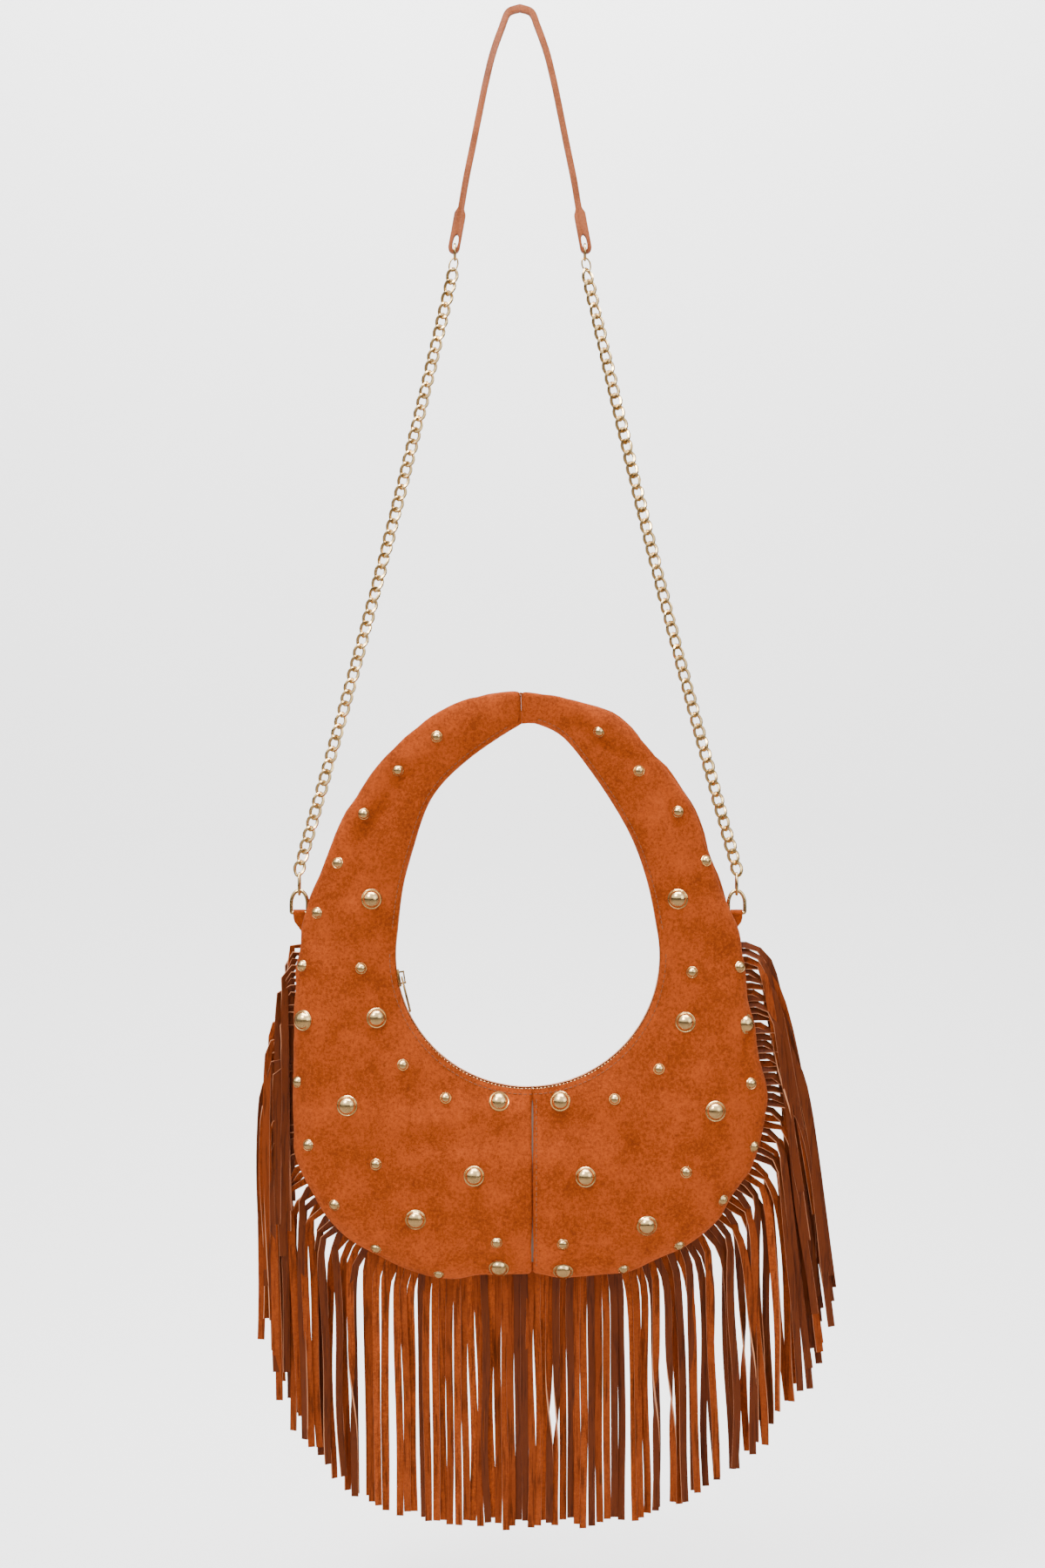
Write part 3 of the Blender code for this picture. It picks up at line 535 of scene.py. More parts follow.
def cloth_weave_group():
    """Plain weave: threads one over one under."""
    tree, given, out = new_group(
        "cloth weave",
        (("Vector", VECTOR, (0, 0, 0)), ("Light", COLOUR, (1, 1, 1, 1)),
         ("Dark", COLOUR, (0, 0, 0, 1)), ("Threads", FLOAT, 260.0)),
        (("Colour", COLOUR), ("Height", FLOAT), ("Roughness", FLOAT)))
    bands = []
    for direction in ("X", "Z"):
        wave = tree.nodes.new("ShaderNodeTexWave")
        wave.bands_direction = direction
        wave.inputs["Distortion"].default_value = 0.4
        tree.links.new(given.outputs["Vector"], wave.inputs["Vector"])
        tree.links.new(given.outputs["Threads"], wave.inputs["Scale"])
        bands.append(wave.outputs["Fac"])
    threads = sum_of(tree, (bands[0], 0.5), (bands[1], 0.5))
    worn = noise_node(tree, given.outputs["Vector"], 70.0)
    tone = sum_of(tree, (threads, 0.6), (worn, 0.4))
    tree.links.new(mixed(tree, tone, given.outputs["Dark"], given.outputs["Light"]),
                   out.inputs["Colour"])
    tree.links.new(threads, out.inputs["Height"])
    tree.links.new(spread(tree, worn, 0.3, 0.7, 0.8, 0.95), out.inputs["Roughness"])
    return tree


GROUPS = {}


def group(name):
    """One of the shared groups, built once."""
    makers = {"nap": suede_nap_group, "grain": leather_grain_group, "wear": metal_wear_group,
              "weave": cloth_weave_group}
    if name not in GROUPS:
        GROUPS[name] = makers[name]()
    return GROUPS[name]


def finish_from(name, kind, values, bump, distance, **shader_values):
    """Material whose colour, roughness and bump come from a shared group."""
    made = bpy.data.materials.get(name)
    if made is not None:
        return made
    made = bpy.data.materials.new(name)
    made.use_nodes = True
    tree = made.node_tree
    shader = tree.nodes["Principled BSDF"]
    where = tree.nodes.new("ShaderNodeTexCoord")
    effect = tree.nodes.new("ShaderNodeGroup")
    effect.node_tree = group(kind)
    tree.links.new(where.outputs["Object"], effect.inputs["Vector"])
    for label, value in values.items():
        effect.inputs[label].default_value = value
    relief_node = tree.nodes.new("ShaderNodeBump")
    relief_node.inputs["Strength"].default_value = bump
    relief_node.inputs["Distance"].default_value = distance
    tree.links.new(effect.outputs["Height"], relief_node.inputs["Height"])
    tree.links.new(relief_node.outputs["Normal"], shader.inputs["Normal"])
    tree.links.new(effect.outputs["Colour"], shader.inputs["Base Color"])
    tree.links.new(effect.outputs["Roughness"], shader.inputs["Roughness"])
    for label, value in shader_values.items():
        shader.inputs[label.replace("_", " ")].default_value = value
    return made


def shade(colour, factor):
    return (*[min(1.0, part * factor) for part in colour[:3]], 1.0)


def suede_finish():
    colour = bpy.context.scene.bag_suede.colour
    return finish_from("rust suede", "nap",
                       {"Light": shade(colour, 1.18), "Dark": shade(colour, 0.48),
                        "Patch Scale": 1.0 / bpy.context.scene.bag_suede.patch},
                       0.6, 0.0005, Sheen_Weight=0.10, Sheen_Roughness=0.45,
                       Sheen_Tint=(1.0, 0.42, 0.2, 1.0), Specular_IOR_Level=0.08)


def raw_edge_finish():
    """Paler cut edge, where the fibres of the suede show."""
    return finish_from("raw suede edge", "nap",
                       {"Light": (0.62, 0.30, 0.17, 1.0), "Dark": (0.30, 0.10, 0.05, 1.0),
                        "Patch Scale": 90.0}, 0.4, 0.0003, Specular_IOR_Level=0.1)


def gold_finish(name, colour):
    return finish_from(name, "wear", {"Bright": shade(colour, 1.04), "Dull": shade(colour, 0.82)},
                       0.12, 0.0001, Metallic=1.0)


def chain_gold():
    return gold_finish("chain gold", bpy.context.scene.bag_metal.chain_colour)


def stud_gold():
    return gold_finish("stud gold", bpy.context.scene.bag_metal.stud_colour)


def zip_gold():
    return gold_finish("zip gold", bpy.context.scene.bag_metal.zip_colour)


def tan_finish():
    colour = bpy.context.scene.bag_strap.colour
    return finish_from("tan leather", "grain",
                       {"Light": shade(colour, 1.15), "Dark": shade(colour, 0.6)},
                       0.25, 0.0002, Coat_Weight=0.04, Coat_Roughness=0.35,
                       Specular_IOR_Level=0.28)


def thread_finish(name, colour):
    return finish_from(name, "weave", {"Light": shade(colour, 1.15), "Dark": shade(colour, 0.6),
                                       "Threads": 900.0}, 0.3, 0.0001)


def tape_finish():
    return finish_from("zip tape cloth", "weave",
                       {"Light": shade(FINISH["zip_tape"], 1.2),
                        "Dark": shade(FINISH["zip_tape"], 0.6), "Threads": 420.0}, 0.4, 0.0002)


def lining_finish():
    return finish_from("lining weave", "weave",
                       {"Light": shade(FINISH["lining_cloth"], 1.3),
                        "Dark": shade(FINISH["lining_cloth"], 0.7), "Threads": 300.0},
                       0.3, 0.0002)


def strand_finish():
    """Nap on one face of each strand, the darker smooth side on the other, pale cut edges
    and streaks along the strand."""
    settings = bpy.context.scene.bag_fringe
    made = finish_from("fringe suede", "nap",
                       {"Light": shade(settings.nap_colour, 1.2),
                        "Dark": shade(settings.nap_colour, 0.55), "Patch Scale": 45.0},
                       0.45, 0.0003, Sheen_Weight=0.06, Sheen_Tint=(1.0, 0.45, 0.25, 1.0),
                       Specular_IOR_Level=0.09)
    tree = made.node_tree
    if tree.nodes.get("smooth side"):
        return made
    shader = tree.nodes["Principled BSDF"]
    side = tree.nodes.new("ShaderNodeAttribute")
    side.name = "smooth side"
    side.attribute_name = "smooth_side"
    tone = tree.nodes.new("ShaderNodeAttribute")
    tone.attribute_name = "tone"
    nap_colour = shader.inputs["Base Color"].links[0].from_socket
    nap_rough = shader.inputs["Roughness"].links[0].from_socket
    varied = mixed(tree, tone.outputs["Fac"], nap_colour, shade(settings.nap_colour, 0.5))
    colour = mixed(tree, side.outputs["Fac"], varied, shade(settings.smooth_colour, 1.0))
    cut = tree.nodes.new("ShaderNodeAttribute")
    cut.attribute_name = "cut_edge"
    where = tree.nodes.new("ShaderNodeTexCoord")
    drawn_out = tree.nodes.new("ShaderNodeMapping")
    drawn_out.inputs["Scale"].default_value = (1.0, 1.0, 0.05)
    tree.links.new(where.outputs["Object"], drawn_out.inputs["Vector"])
    streaks = noise_node(tree, drawn_out.outputs["Vector"], 700.0, 2.0, 0.6)
    colour = mixed(tree, spread(tree, streaks, 0.52, 0.64, 0.0, 0.62), colour,
                   shade(settings.smooth_colour, 0.45))
    colour = mixed(tree, cut.outputs["Fac"], colour, (0.42, 0.17, 0.085, 1.0))
    rough = tree.nodes.new("ShaderNodeMix")
    tree.links.new(side.outputs["Fac"], rough.inputs[0])
    tree.links.new(nap_rough, rough.inputs[2])
    rough.inputs[3].default_value = 0.5
    tree.links.new(colour, shader.inputs["Base Color"])
    tree.links.new(rough.outputs[0], shader.inputs["Roughness"])
    return made


# ---------------------------------------------------------------- geometry node trees

def node_tree(name, inputs):
    """Geometry tree with a Geometry input and named inputs for its sizes."""
    tree = bpy.data.node_groups.new(name, "GeometryNodeTree")
    tree.interface.new_socket("Geometry", in_out="INPUT", socket_type="NodeSocketGeometry")
    for label, kind in inputs:
        tree.interface.new_socket(label, in_out="INPUT", socket_type=kind)
    tree.interface.new_socket("Geometry", in_out="OUTPUT", socket_type="NodeSocketGeometry")
    return tree, tree.nodes.new("NodeGroupInput"), tree.nodes.new("NodeGroupOutput")


def add(tree, kind, **settings):
    made = tree.nodes.new(kind)
    for label, value in settings.items():
        setattr(made, label, value)
    return made


def end_tree(tree, geometry, given, out):
    """Finish a tree: real mesh in place of instances, then the finish."""
    whole, painted = (add(tree, kind) for kind in ("GeometryNodeRealizeInstances",
                                                   "GeometryNodeSetMaterial"))
    tree.links.new(geometry, whole.inputs["Geometry"])
    tree.links.new(whole.outputs["Geometry"], painted.inputs["Geometry"])
    tree.links.new(given.outputs["Finish"], painted.inputs["Material"])
    tree.links.new(painted.outputs["Geometry"], out.inputs["Geometry"])
    return tree


def run_tree(thing, tree, values):
    """Grow a tree's result on an object and keep it as a plain mesh."""
    grow = thing.modifiers.new(tree.name, "NODES")
    grow.node_group = tree
    for item in tree.interface.items_tree:
        if item.in_out == "INPUT" and item.name in values:
            grow[item.identifier] = values[item.name]
    return bake(thing)


def seated_tree():
    """Copies of a shape on points that carry their own turn and size."""
    tree = bpy.data.node_groups.get("seated copies")
    if tree:
        return tree
    tree, given, out = node_tree("seated copies", (
        ("Shape", "NodeSocketObject"), ("Size", "NodeSocketFloat"),
        ("Finish", "NodeSocketMaterial")))
    shape = add(tree, "GeometryNodeObjectInfo")
    turn = add(tree, "GeometryNodeInputNamedAttribute", data_type="FLOAT_VECTOR")
    turn.inputs["Name"].default_value = "turn"
    copies = add(tree, "GeometryNodeInstanceOnPoints")
    join = tree.links.new
    join(given.outputs["Shape"], shape.inputs["Object"])
    join(given.outputs["Geometry"], copies.inputs["Points"])
    join(shape.outputs["Geometry"], copies.inputs["Instance"])
    join(turn.outputs["Attribute"], copies.inputs["Rotation"])
    join(given.outputs["Size"], copies.inputs["Scale"])
    return end_tree(tree, copies.outputs["Instances"], given, out)


def seat_copies(name, matrices, shape, finish):
    """Many copies of a small shape, each placed by a matrix, as one mesh."""
    mesh = bpy.data.meshes.new(name)
    mesh.from_pydata([m.to_translation() for m in matrices], [], [])
    turns = mesh.attributes.new("turn", "FLOAT_VECTOR", "POINT")
    for item, matrix in zip(turns.data, matrices):
        item.vector = matrix.to_euler()
    holder = place(f"{name}_shape", shape)
    thing = run_tree(place(name, mesh), seated_tree(),
                     {"Shape": holder, "Size": 1.0, "Finish": finish})
    bpy.data.objects.remove(holder)
    for spare in [a.name for a in thing.data.attributes if a.name == "turn"]:
        thing.data.attributes.remove(thing.data.attributes[spare])
    return thing


def ribbon_tree():
    """Flat closed strands drawn sideways out of their centre lines."""
    tree = bpy.data.node_groups.get("suede strands")
    if tree:
        return tree
    tree, given, out = node_tree("suede strands", (
        ("Width", "NodeSocketFloat"), ("Thickness", "NodeSocketFloat"),
        ("Finish", "NodeSocketMaterial")))
    join = tree.links.new

    def attribute(name, kind):
        made = add(tree, "GeometryNodeInputNamedAttribute", data_type=kind)
        made.inputs["Name"].default_value = name
        return made.outputs["Attribute"]

    wide = add(tree, "ShaderNodeVectorMath", operation="SCALE")
    join(attribute("across", "FLOAT_VECTOR"), wide.inputs[0])
    join(given.outputs["Width"], wide.inputs["Scale"])
    half = add(tree, "ShaderNodeVectorMath", operation="SCALE")
    half.inputs["Scale"].default_value = -0.5
    join(wide.outputs[0], half.inputs[0])
    moved = add(tree, "GeometryNodeSetPosition")
    join(given.outputs["Geometry"], moved.inputs["Geometry"])
    join(half.outputs[0], moved.inputs["Offset"])
    drawn = add(tree, "GeometryNodeExtrudeMesh", mode="EDGES")
    join(moved.outputs[0], drawn.inputs["Mesh"])
    join(wide.outputs[0], drawn.inputs["Offset"])
    drawn.inputs["Offset Scale"].default_value = 1.0
    thick = add(tree, "GeometryNodeExtrudeMesh", mode="FACES")
    thick.inputs["Individual"].default_value = False
    join(drawn.outputs["Mesh"], thick.inputs["Mesh"])
    join(given.outputs["Thickness"], thick.inputs["Offset Scale"])
    marked = add(tree, "GeometryNodeStoreNamedAttribute", data_type="FLOAT", domain="FACE")
    marked.inputs["Name"].default_value = "smooth_side"
    join(thick.outputs["Mesh"], marked.inputs["Geometry"])
    join(thick.outputs["Top"], marked.inputs["Value"])
    cut = add(tree, "GeometryNodeStoreNamedAttribute", data_type="FLOAT", domain="FACE")
    cut.inputs["Name"].default_value = "cut_edge"
    join(marked.outputs[0], cut.inputs["Geometry"])
    join(thick.outputs["Side"], cut.inputs["Value"])
    under = add(tree, "GeometryNodeFlipFaces")
    join(drawn.outputs["Mesh"], under.inputs["Mesh"])
    both = add(tree, "GeometryNodeJoinGeometry")
    join(cut.outputs[0], both.inputs[0])
    join(under.outputs[0], both.inputs[0])
    merged = add(tree, "GeometryNodeMergeByDistance")
    merged.inputs["Distance"].default_value = 1e-6
    join(both.outputs[0], merged.inputs["Geometry"])
    return end_tree(tree, merged.outputs[0], given, out)


# ---------------------------------------------------------------- small repeated shapes

def dome_mesh(name, radius, height, sides):
    """Pressed dome inside a thin rim, with a short skirt that sinks into the suede."""
    profile = ((1.0, -0.22), (1.0, 0.06), (0.95, 0.13), (0.89, 0.10), (0.85, 0.16),
               (0.80, 0.38), (0.68, 0.62), (0.49, 0.83), (0.26, 0.95))

    def build(shape):
        rings = [[shape.verts.new((radius * reach * cos(2 * pi * k / sides),
                                   radius * reach * sin(2 * pi * k / sides), height * rise))
                  for k in range(sides)] for reach, rise in profile]
        shape.faces.new(rings[0])
        for low, high in zip(rings, rings[1:]):
            for k in range(sides):
                shape.faces.new((low[k - 1], low[k], high[k], high[k - 1]))
        top = shape.verts.new((0, 0, height))
        for k in range(sides):
            shape.faces.new((rings[-1][k - 1], rings[-1][k], top))
    return mesh_from(name, build)


def link_mesh(name, half_length, half_width, radius, twist, around=16, sides=6):
    """Curb link: an oval of wire whose two ends are turned against each other."""
    def centre(a):
        turn = twist * sin(a)
        x = half_width * cos(a)
        return Vector((x * cos(turn), x * sin(turn), half_length * sin(a)))

    def build(shape):
        rings = []
        for k in range(around):
            a = 2 * pi * k / around
            spot = centre(a)
            run = (centre(a + 0.05) - centre(a - 0.05)).normalized()
            out = spot.copy()
            out = (out - run * out.dot(run)).normalized()
            up = run.cross(out)
            rings.append([shape.verts.new(spot + (out * cos(b) + up * sin(b)) * radius)
                          for b in (2 * pi * m / sides for m in range(sides))])
        for k in range(around):
            for m in range(sides):
                shape.faces.new((rings[k - 1][m - 1], rings[k][m - 1], rings[k][m],
                                 rings[k - 1][m]))
    return mesh_from(name, build)


def stitch_mesh(name, length, radius):
    """One stitch of thread, pulled down into the surface at both ends."""
    def build(shape):
        rings = []
        for part, rise, thick in ((-0.5, -0.5, 0.5), (-0.38, 0.25, 0.9), (0.0, 0.6, 1.0),
                                  (0.38, 0.25, 0.9), (0.5, -0.5, 0.5)):
            rings.append([shape.verts.new((length * part, radius * thick * cos(b),
                                           radius * (rise + thick * sin(b))))
                          for b in (2 * pi * m / 6 for m in range(6))])
        for low, high in zip(rings, rings[1:]):
            for m in range(6):
                shape.faces.new((low[m - 1], low[m], high[m], high[m - 1]))
        shape.faces.new(rings[0])
        shape.faces.new(rings[-1])
    return mesh_from(name, build)


def frame_matrix(spot, run, normal):
    """Placement with local x along a line and local z out of the surface."""
    normal = (normal - run * normal.dot(run)).normalized()
    return Matrix.Translation(spot) @ Matrix((run, normal.cross(run), normal)).transposed() \
        .to_4x4()


def surface_of(*pieces):
    verts, faces = [], []
    for piece in pieces:
        start = len(verts)
        verts += [vert.co.copy() for vert in piece.data.vertices]
        faces += [[start + index for index in face.vertices] for face in piece.data.polygons]
    return BVHTree.FromPolygons(verts, faces)


def stitch_run(tree, flat_line, side, pitch):
    """Placements of stitches along a line, given as x and z around the datum."""
    length = line_length(flat_line)
    count = max(2, int(length / pitch))
    hits = []
    for k in range(count + 1):
        flat = along(flat_line, k / count)
        start = DATUM + Vector((flat.x, side * 0.1, flat.y))
        hit = tree.ray_cast(start, Vector((0, -side, 0)))
        hits.append((hit[0], hit[1]))
    found = []
    for (a, normal_a), (b, normal_b) in zip(hits, hits[1:]):
        if a is None or b is None or (b - a).length > 2.5 * pitch:
            continue
        found.append(frame_matrix((a + b) / 2, (b - a).normalized(),
                                  (normal_a + normal_b).normalized()))
    return found


# ---------------------------------------------------------------- settings

class BagSuede(bpy.types.PropertyGroup):
    """Suede shell."""
    colour: bpy.props.FloatVectorProperty(
        name="Colour", description="Colour of the suede", subtype="COLOR", size=3,
        default=(0.29, 0.0465, 0.0056), min=0, max=1)
    thickness: bpy.props.FloatProperty(
        name="Thickness", description="Thickness of the suede", default=1.2 * MM,
        min=0.0006, max=0.002, unit="LENGTH", precision=4)
    patch: bpy.props.FloatProperty(
        name="Patch Size", description="Size of the light and dark patches in the nap",
        default=0.022, min=0.005, max=0.2, unit="LENGTH")
    softness: bpy.props.FloatProperty(
        name="Folds", description="How deep the folds and dents are", default=1.8,
        min=0.0, max=2.0, subtype="FACTOR")


class BagFringe(bpy.types.PropertyGroup):
    """Fringe round the outer seam."""
    strands: bpy.props.IntProperty(
        name="Strands", description="Number of strands in the fringe", default=146,
        min=40, max=260)
    length: bpy.props.FloatProperty(
        name="Length", description="Length of a strand beyond the seam", default=0.169,
        min=0.05, max=0.17, unit="LENGTH")
    thickness: bpy.props.FloatProperty(
        name="Thickness", description="Thickness of a strand", default=1.1 * MM,
        min=0.0005, max=0.002, unit="LENGTH", precision=4)
    nap_colour: bpy.props.FloatVectorProperty(
        name="Nap Colour", description="Colour of the brushed face", subtype="COLOR", size=3,
        default=(0.27, 0.047, 0.0072), min=0, max=1)
    smooth_colour: bpy.props.FloatVectorProperty(
        name="Smooth Colour", description="Colour of the smooth back", subtype="COLOR",
        size=3, default=(0.088, 0.0165, 0.0030), min=0, max=1)


class BagMetal(bpy.types.PropertyGroup):
    """Chain, studs and zip."""
    chain_colour: bpy.props.FloatVectorProperty(
        name="Chain Colour", description="Colour of the chain and rings", subtype="COLOR",
        size=3, default=(0.88, 0.62, 0.28), min=0, max=1)
    stud_colour: bpy.props.FloatVectorProperty(
        name="Stud Colour", description="Colour of the studs", subtype="COLOR", size=3,
        default=(0.97, 0.68, 0.31), min=0, max=1)
    zip_colour: bpy.props.FloatVectorProperty(
        name="Zip Colour", description="Colour of the zip", subtype="COLOR", size=3,
        default=(0.80, 0.50, 0.20), min=0, max=1)
    large_stud: bpy.props.FloatProperty(
        name="Large Stud", description="Radius of a large stud", default=6.6 * MM,
        min=0.003, max=0.012, unit="LENGTH", precision=4)
    small_stud: bpy.props.FloatProperty(
        name="Small Stud", description="Radius of a small stud", default=3.7 * MM,
        min=0.0015, max=0.006, unit="LENGTH", precision=4)
    link_pitch: bpy.props.FloatProperty(
        name="Link Pitch", description="Distance from one link to the next",
        default=7.7 * MM, min=0.004, max=0.012, unit="LENGTH", precision=4)
    tooth_pitch: bpy.props.FloatProperty(
        name="Tooth Pitch", description="Distance from one zip tooth to the next",
        default=2.5 * MM, min=0.001, max=0.005, unit="LENGTH", precision=4)


class BagStrap(bpy.types.PropertyGroup):
    """Leather shoulder strap."""
    colour: bpy.props.FloatVectorProperty(
        name="Colour", description="Colour of the leather", subtype="COLOR", size=3,
        default=(0.27, 0.070, 0.022), min=0, max=1)
    rounding: bpy.props.FloatProperty(
        name="Edge Rounding", description="Radius of the strap's edges", default=0.55 * MM,
        min=0.0001, max=0.0015, unit="LENGTH", precision=4)


class BagStage(bpy.types.PropertyGroup):
    """Floor, backdrop and light."""
    light: bpy.props.FloatProperty(
        name="Light", description="Strength of the studio lights", default=1.0,
        min=0.1, max=5.0, subtype="FACTOR")
    floor_colour: bpy.props.FloatVectorProperty(
        name="Floor Colour", description="Colour of the floor and backdrop",
        subtype="COLOR", size=3, default=(0.93, 0.93, 0.93), min=0, max=1)


# ---------------------------------------------------------------- operators

class BAG_OT_shell(bpy.types.Operator):
    """Make the four suede panels with their folds and sewn edges"""
    bl_idname = "bag.shell"
    bl_label = "Suede Shell"

    def execute(self, context):
        settings = context.scene.bag_suede
        for side, face in ((-1, "front"), (1, "back")):
            for half in ("left", "right"):
                flip = (half == "right") != (side < 0)
                rows = shell_grid(half, side, 118, 40, settings.softness)
                panel = place(f"suede_{face}_{half}",
                              grid_mesh(f"suede_{face}_{half}", rows, flip), suede_finish())
                panel.data.materials.append(raw_edge_finish())
                solidify(panel, settings.thickness)
                panel.modifiers["wall"].material_offset_rim = 1
                attach(bake(panel, radians(60)), "bag", "suede", f"{face}_panel_{half}")
        return {"FINISHED"}


class BAG_OT_lining(bpy.types.Operator):
    """Make the cloth lining inside the pouch"""
    bl_idname = "bag.lining"
    bl_label = "Lining"

    def execute(self, context):
        inset = context.scene.bag_suede.thickness + 1.2 * MM
        rows = []
        stations = [("left", k) for k in range(1, 30)] + [("right", k) for k in
                                                          range(29, 0, -1)]
        columns = [0.06 + 0.72 * j / 14 for j in range(15)]
        for half, k in stations:
            share = HOOP_SHARE + 0.06 + (0.93 - HOOP_SHARE) * k / 29
            edges = ruling(half, share)
            line = []
            for side, run in ((-1, columns), (1, columns[::-1])):
                for column in run:
                    point = shell_point(edges, side, share, column)
                    towards = Vector((DATUM.x, 0, point.z)) - point
                    point.y -= side * inset * 1.6
                    point += Vector((towards.x, 0, 0)) * 0.012
                    line.append(point)
            rows.append(line)
        lining = place("lining_cloth", grid_mesh("lining_cloth", rows), lining_finish())
        solidify(lining, 0.4 * MM, 0.0)
        attach(bake(lining), "bag", "lining_cloth", "lining")
        return {"FINISHED"}


class BAG_OT_studs(bpy.types.Operator):
    """Seat the large and small dome studs on the front"""
    bl_idname = "bag.studs"
    bl_label = "Dome Studs"

    def seat(self, tree, x, z, radius):
        """Placement on the suede, moved in until the stud clears the outer seam."""
        flat = DATUM + Vector((x, 0, z)) * MM
        middle = DATUM + Vector((0, 0, -60)) * MM
        for _ in range(40):
            hits = [tree.ray_cast(flat + Vector((radius * r * cos(a), -0.1,
                                                 radius * r * sin(a))), Vector((0, 1, 0)))
                    for r in (0.0, 0.8) for a in (2 * pi * k / 8 for k in range(8))]
            if all(hit[0] is not None for hit in hits):
                normal = sum((hit[1] for hit in hits), Vector()).normalized()
                turn = Vector((0, 0, 1)).rotation_difference(normal)
                centre = hits[0][0]
                rim = max((centre + turn @ Vector((radius * cos(a), radius * sin(a), 0))).y
                          for a in (2 * pi * k / 16 for k in range(16)))
                if rim < -STUD_CLEAR_OF_SEAM:
                    return Matrix.Translation(centre) @ turn.to_matrix().to_4x4()
            if z > 20:
                towards = DATUM - flat
            else:
                towards = middle - flat
            flat += towards.normalized() * 0.5 * MM
        raise RuntimeError(f"stud at {x}, {z} has no seat on the suede")

    def execute(self, context):
        settings = context.scene.bag_metal
        tree = surface_of(bpy.data.objects["suede_front_left"],
                          bpy.data.objects["suede_front_right"])
        for kind, spots, radius, height, sides in (
                ("large", LARGE_STUDS, settings.large_stud, 4.4 * MM, 28),
                ("small", SMALL_STUDS, settings.small_stud, 2.6 * MM, 20)):
            seats = [self.seat(tree, x, z, radius) for x, z in spots]
            studs = seat_copies(f"studs_{kind}", seats,
                                dome_mesh(f"dome_{kind}", radius, height, sides), stud_gold())
            nodes = [name for name in frame["nodes"] if name.startswith(f"stud_{kind}")]
            attach(studs, "bag", "stud_gold", *nodes)
        return {"FINISHED"}


class BAG_OT_stitches(bpy.types.Operator):
    """Sew along the mouth, the hoop's inner edge and the centre seam"""
    bl_idname = "bag.stitches"
    bl_label = "Stitches"

    def execute(self, context):
        found = []
        for side, face in ((-1, "front"), (1, "back")):
            tree = surface_of(*(bpy.data.objects[f"suede_{face}_{half}"]
                                for half in ("left", "right")))
            lines = [[Vector((cos(a), sin(a))) * (MOUTH_RADIUS + 3.4 * MM)
                      for a in (pi - 0.02 + (pi + 0.04) * k / 60 for k in range(61))]]
            for half in ("left", "right"):
                hoop = []
                for k in range(31):
                    inner, outer = ruling(half, 0.02 + (HOOP_SHARE - 0.03) * k / 30)
                    hoop.append(inner + (outer - inner).normalized() * 3.2 * MM)
                lines.append(hoop)
            lines.append([Vector((SEAM_X + 2.6 * MM, -z * MM)) for z in (92, 130, 165, 200)])
            for line in lines:
                found += stitch_run(tree, line, side, 3.3 * MM)
        thread = thread_finish("brown thread", (0.20, 0.062, 0.018))
        stitches = seat_copies("seam_stitches", found,
                               stitch_mesh("seam_stitch", 2.5 * MM, 0.28 * MM), thread)
        attach(stitches, "bag", "suede")
        return {"FINISHED"}


class BAG_OT_zip(bpy.types.Operator):
    """Make the zip tape, its two rows of teeth, the slider and the pull"""
    bl_idname = "bag.zip"
    bl_label = "Zip"

    def rounded_copy(self, node, rounding):
        """Merged copy of a solid with its edges rounded, on the body of the same name."""
        def merged(shape):
            shape.from_mesh(frame["nodes"][node].data)
            bmesh.ops.remove_doubles(shape, verts=shape.verts, dist=0.01 * MM)
            bmesh.ops.dissolve_limit(shape, angle_limit=radians(1), verts=shape.verts,
                                     edges=shape.edges)
        piece = place(f"rounded_{node}", mesh_from(node, merged), zip_gold())
        round_edges(piece, rounding, 2)
        attach(bake(piece), node, "zip_gold", node)

    def execute(self, context):
        settings = context.scene.bag_metal
        first, last = pi - MOUTH_END + 0.04, 2 * pi + MOUTH_END - 0.04
        for side, face in ((-1, "front"), (1, "back")):
            rows = [[on_arc(radius * MM, first + (last - first) * k / 120, side * y * MM)
                     for radius, y in ((89.4, 0.5), (89.4, 1.4), (89.4, 4.2), (89.0, 5.6),
                                       (88.0, 6.5))] for k in range(121)]
            tape = place(f"tape_{face}", grid_mesh(f"tape_{face}", rows), tape_finish())
            solidify(tape, 0.6 * MM, 0.0)
            attach(bake(tape), "bag", "zip_tape", *(["zip_tape"] if side < 0 else []))

        def tooth(shape):
            box(shape, (-0.62 * MM, -0.95 * MM, -1.05 * MM), (0.62 * MM, 0.95 * MM, 1.05 * MM))
            bmesh.ops.bevel(shape, geom=shape.edges[:], offset=0.25 * MM, segments=1,
                            affect="EDGES")
        seats = []
        count = int((last - first - 0.08) * TEETH_RADIUS / settings.tooth_pitch)
        for side in (-1, 1):
            for k in range(count):
                a = first + 0.04 + (last - first - 0.08) * (k + (0.5 if side > 0 else 0)) / count
                run = Vector((-sin(a), 0, cos(a)))
                inward = Vector((-cos(a), 0, -sin(a)))
                seats.append(frame_matrix(on_arc(TEETH_RADIUS, a, side * 1.38 * MM), run,
                                          inward))
        teeth = seat_copies("zip_teeth_rows", seats, mesh_from("tooth", tooth), zip_gold())
        attach(teeth, "bag", "zip_gold", "zip_teeth_front", "zip_teeth_back")
        self.rounded_copy("zip_slider", 0.7 * MM)
        self.rounded_copy("zip_pull", 0.45 * MM)
        return {"FINISHED"}


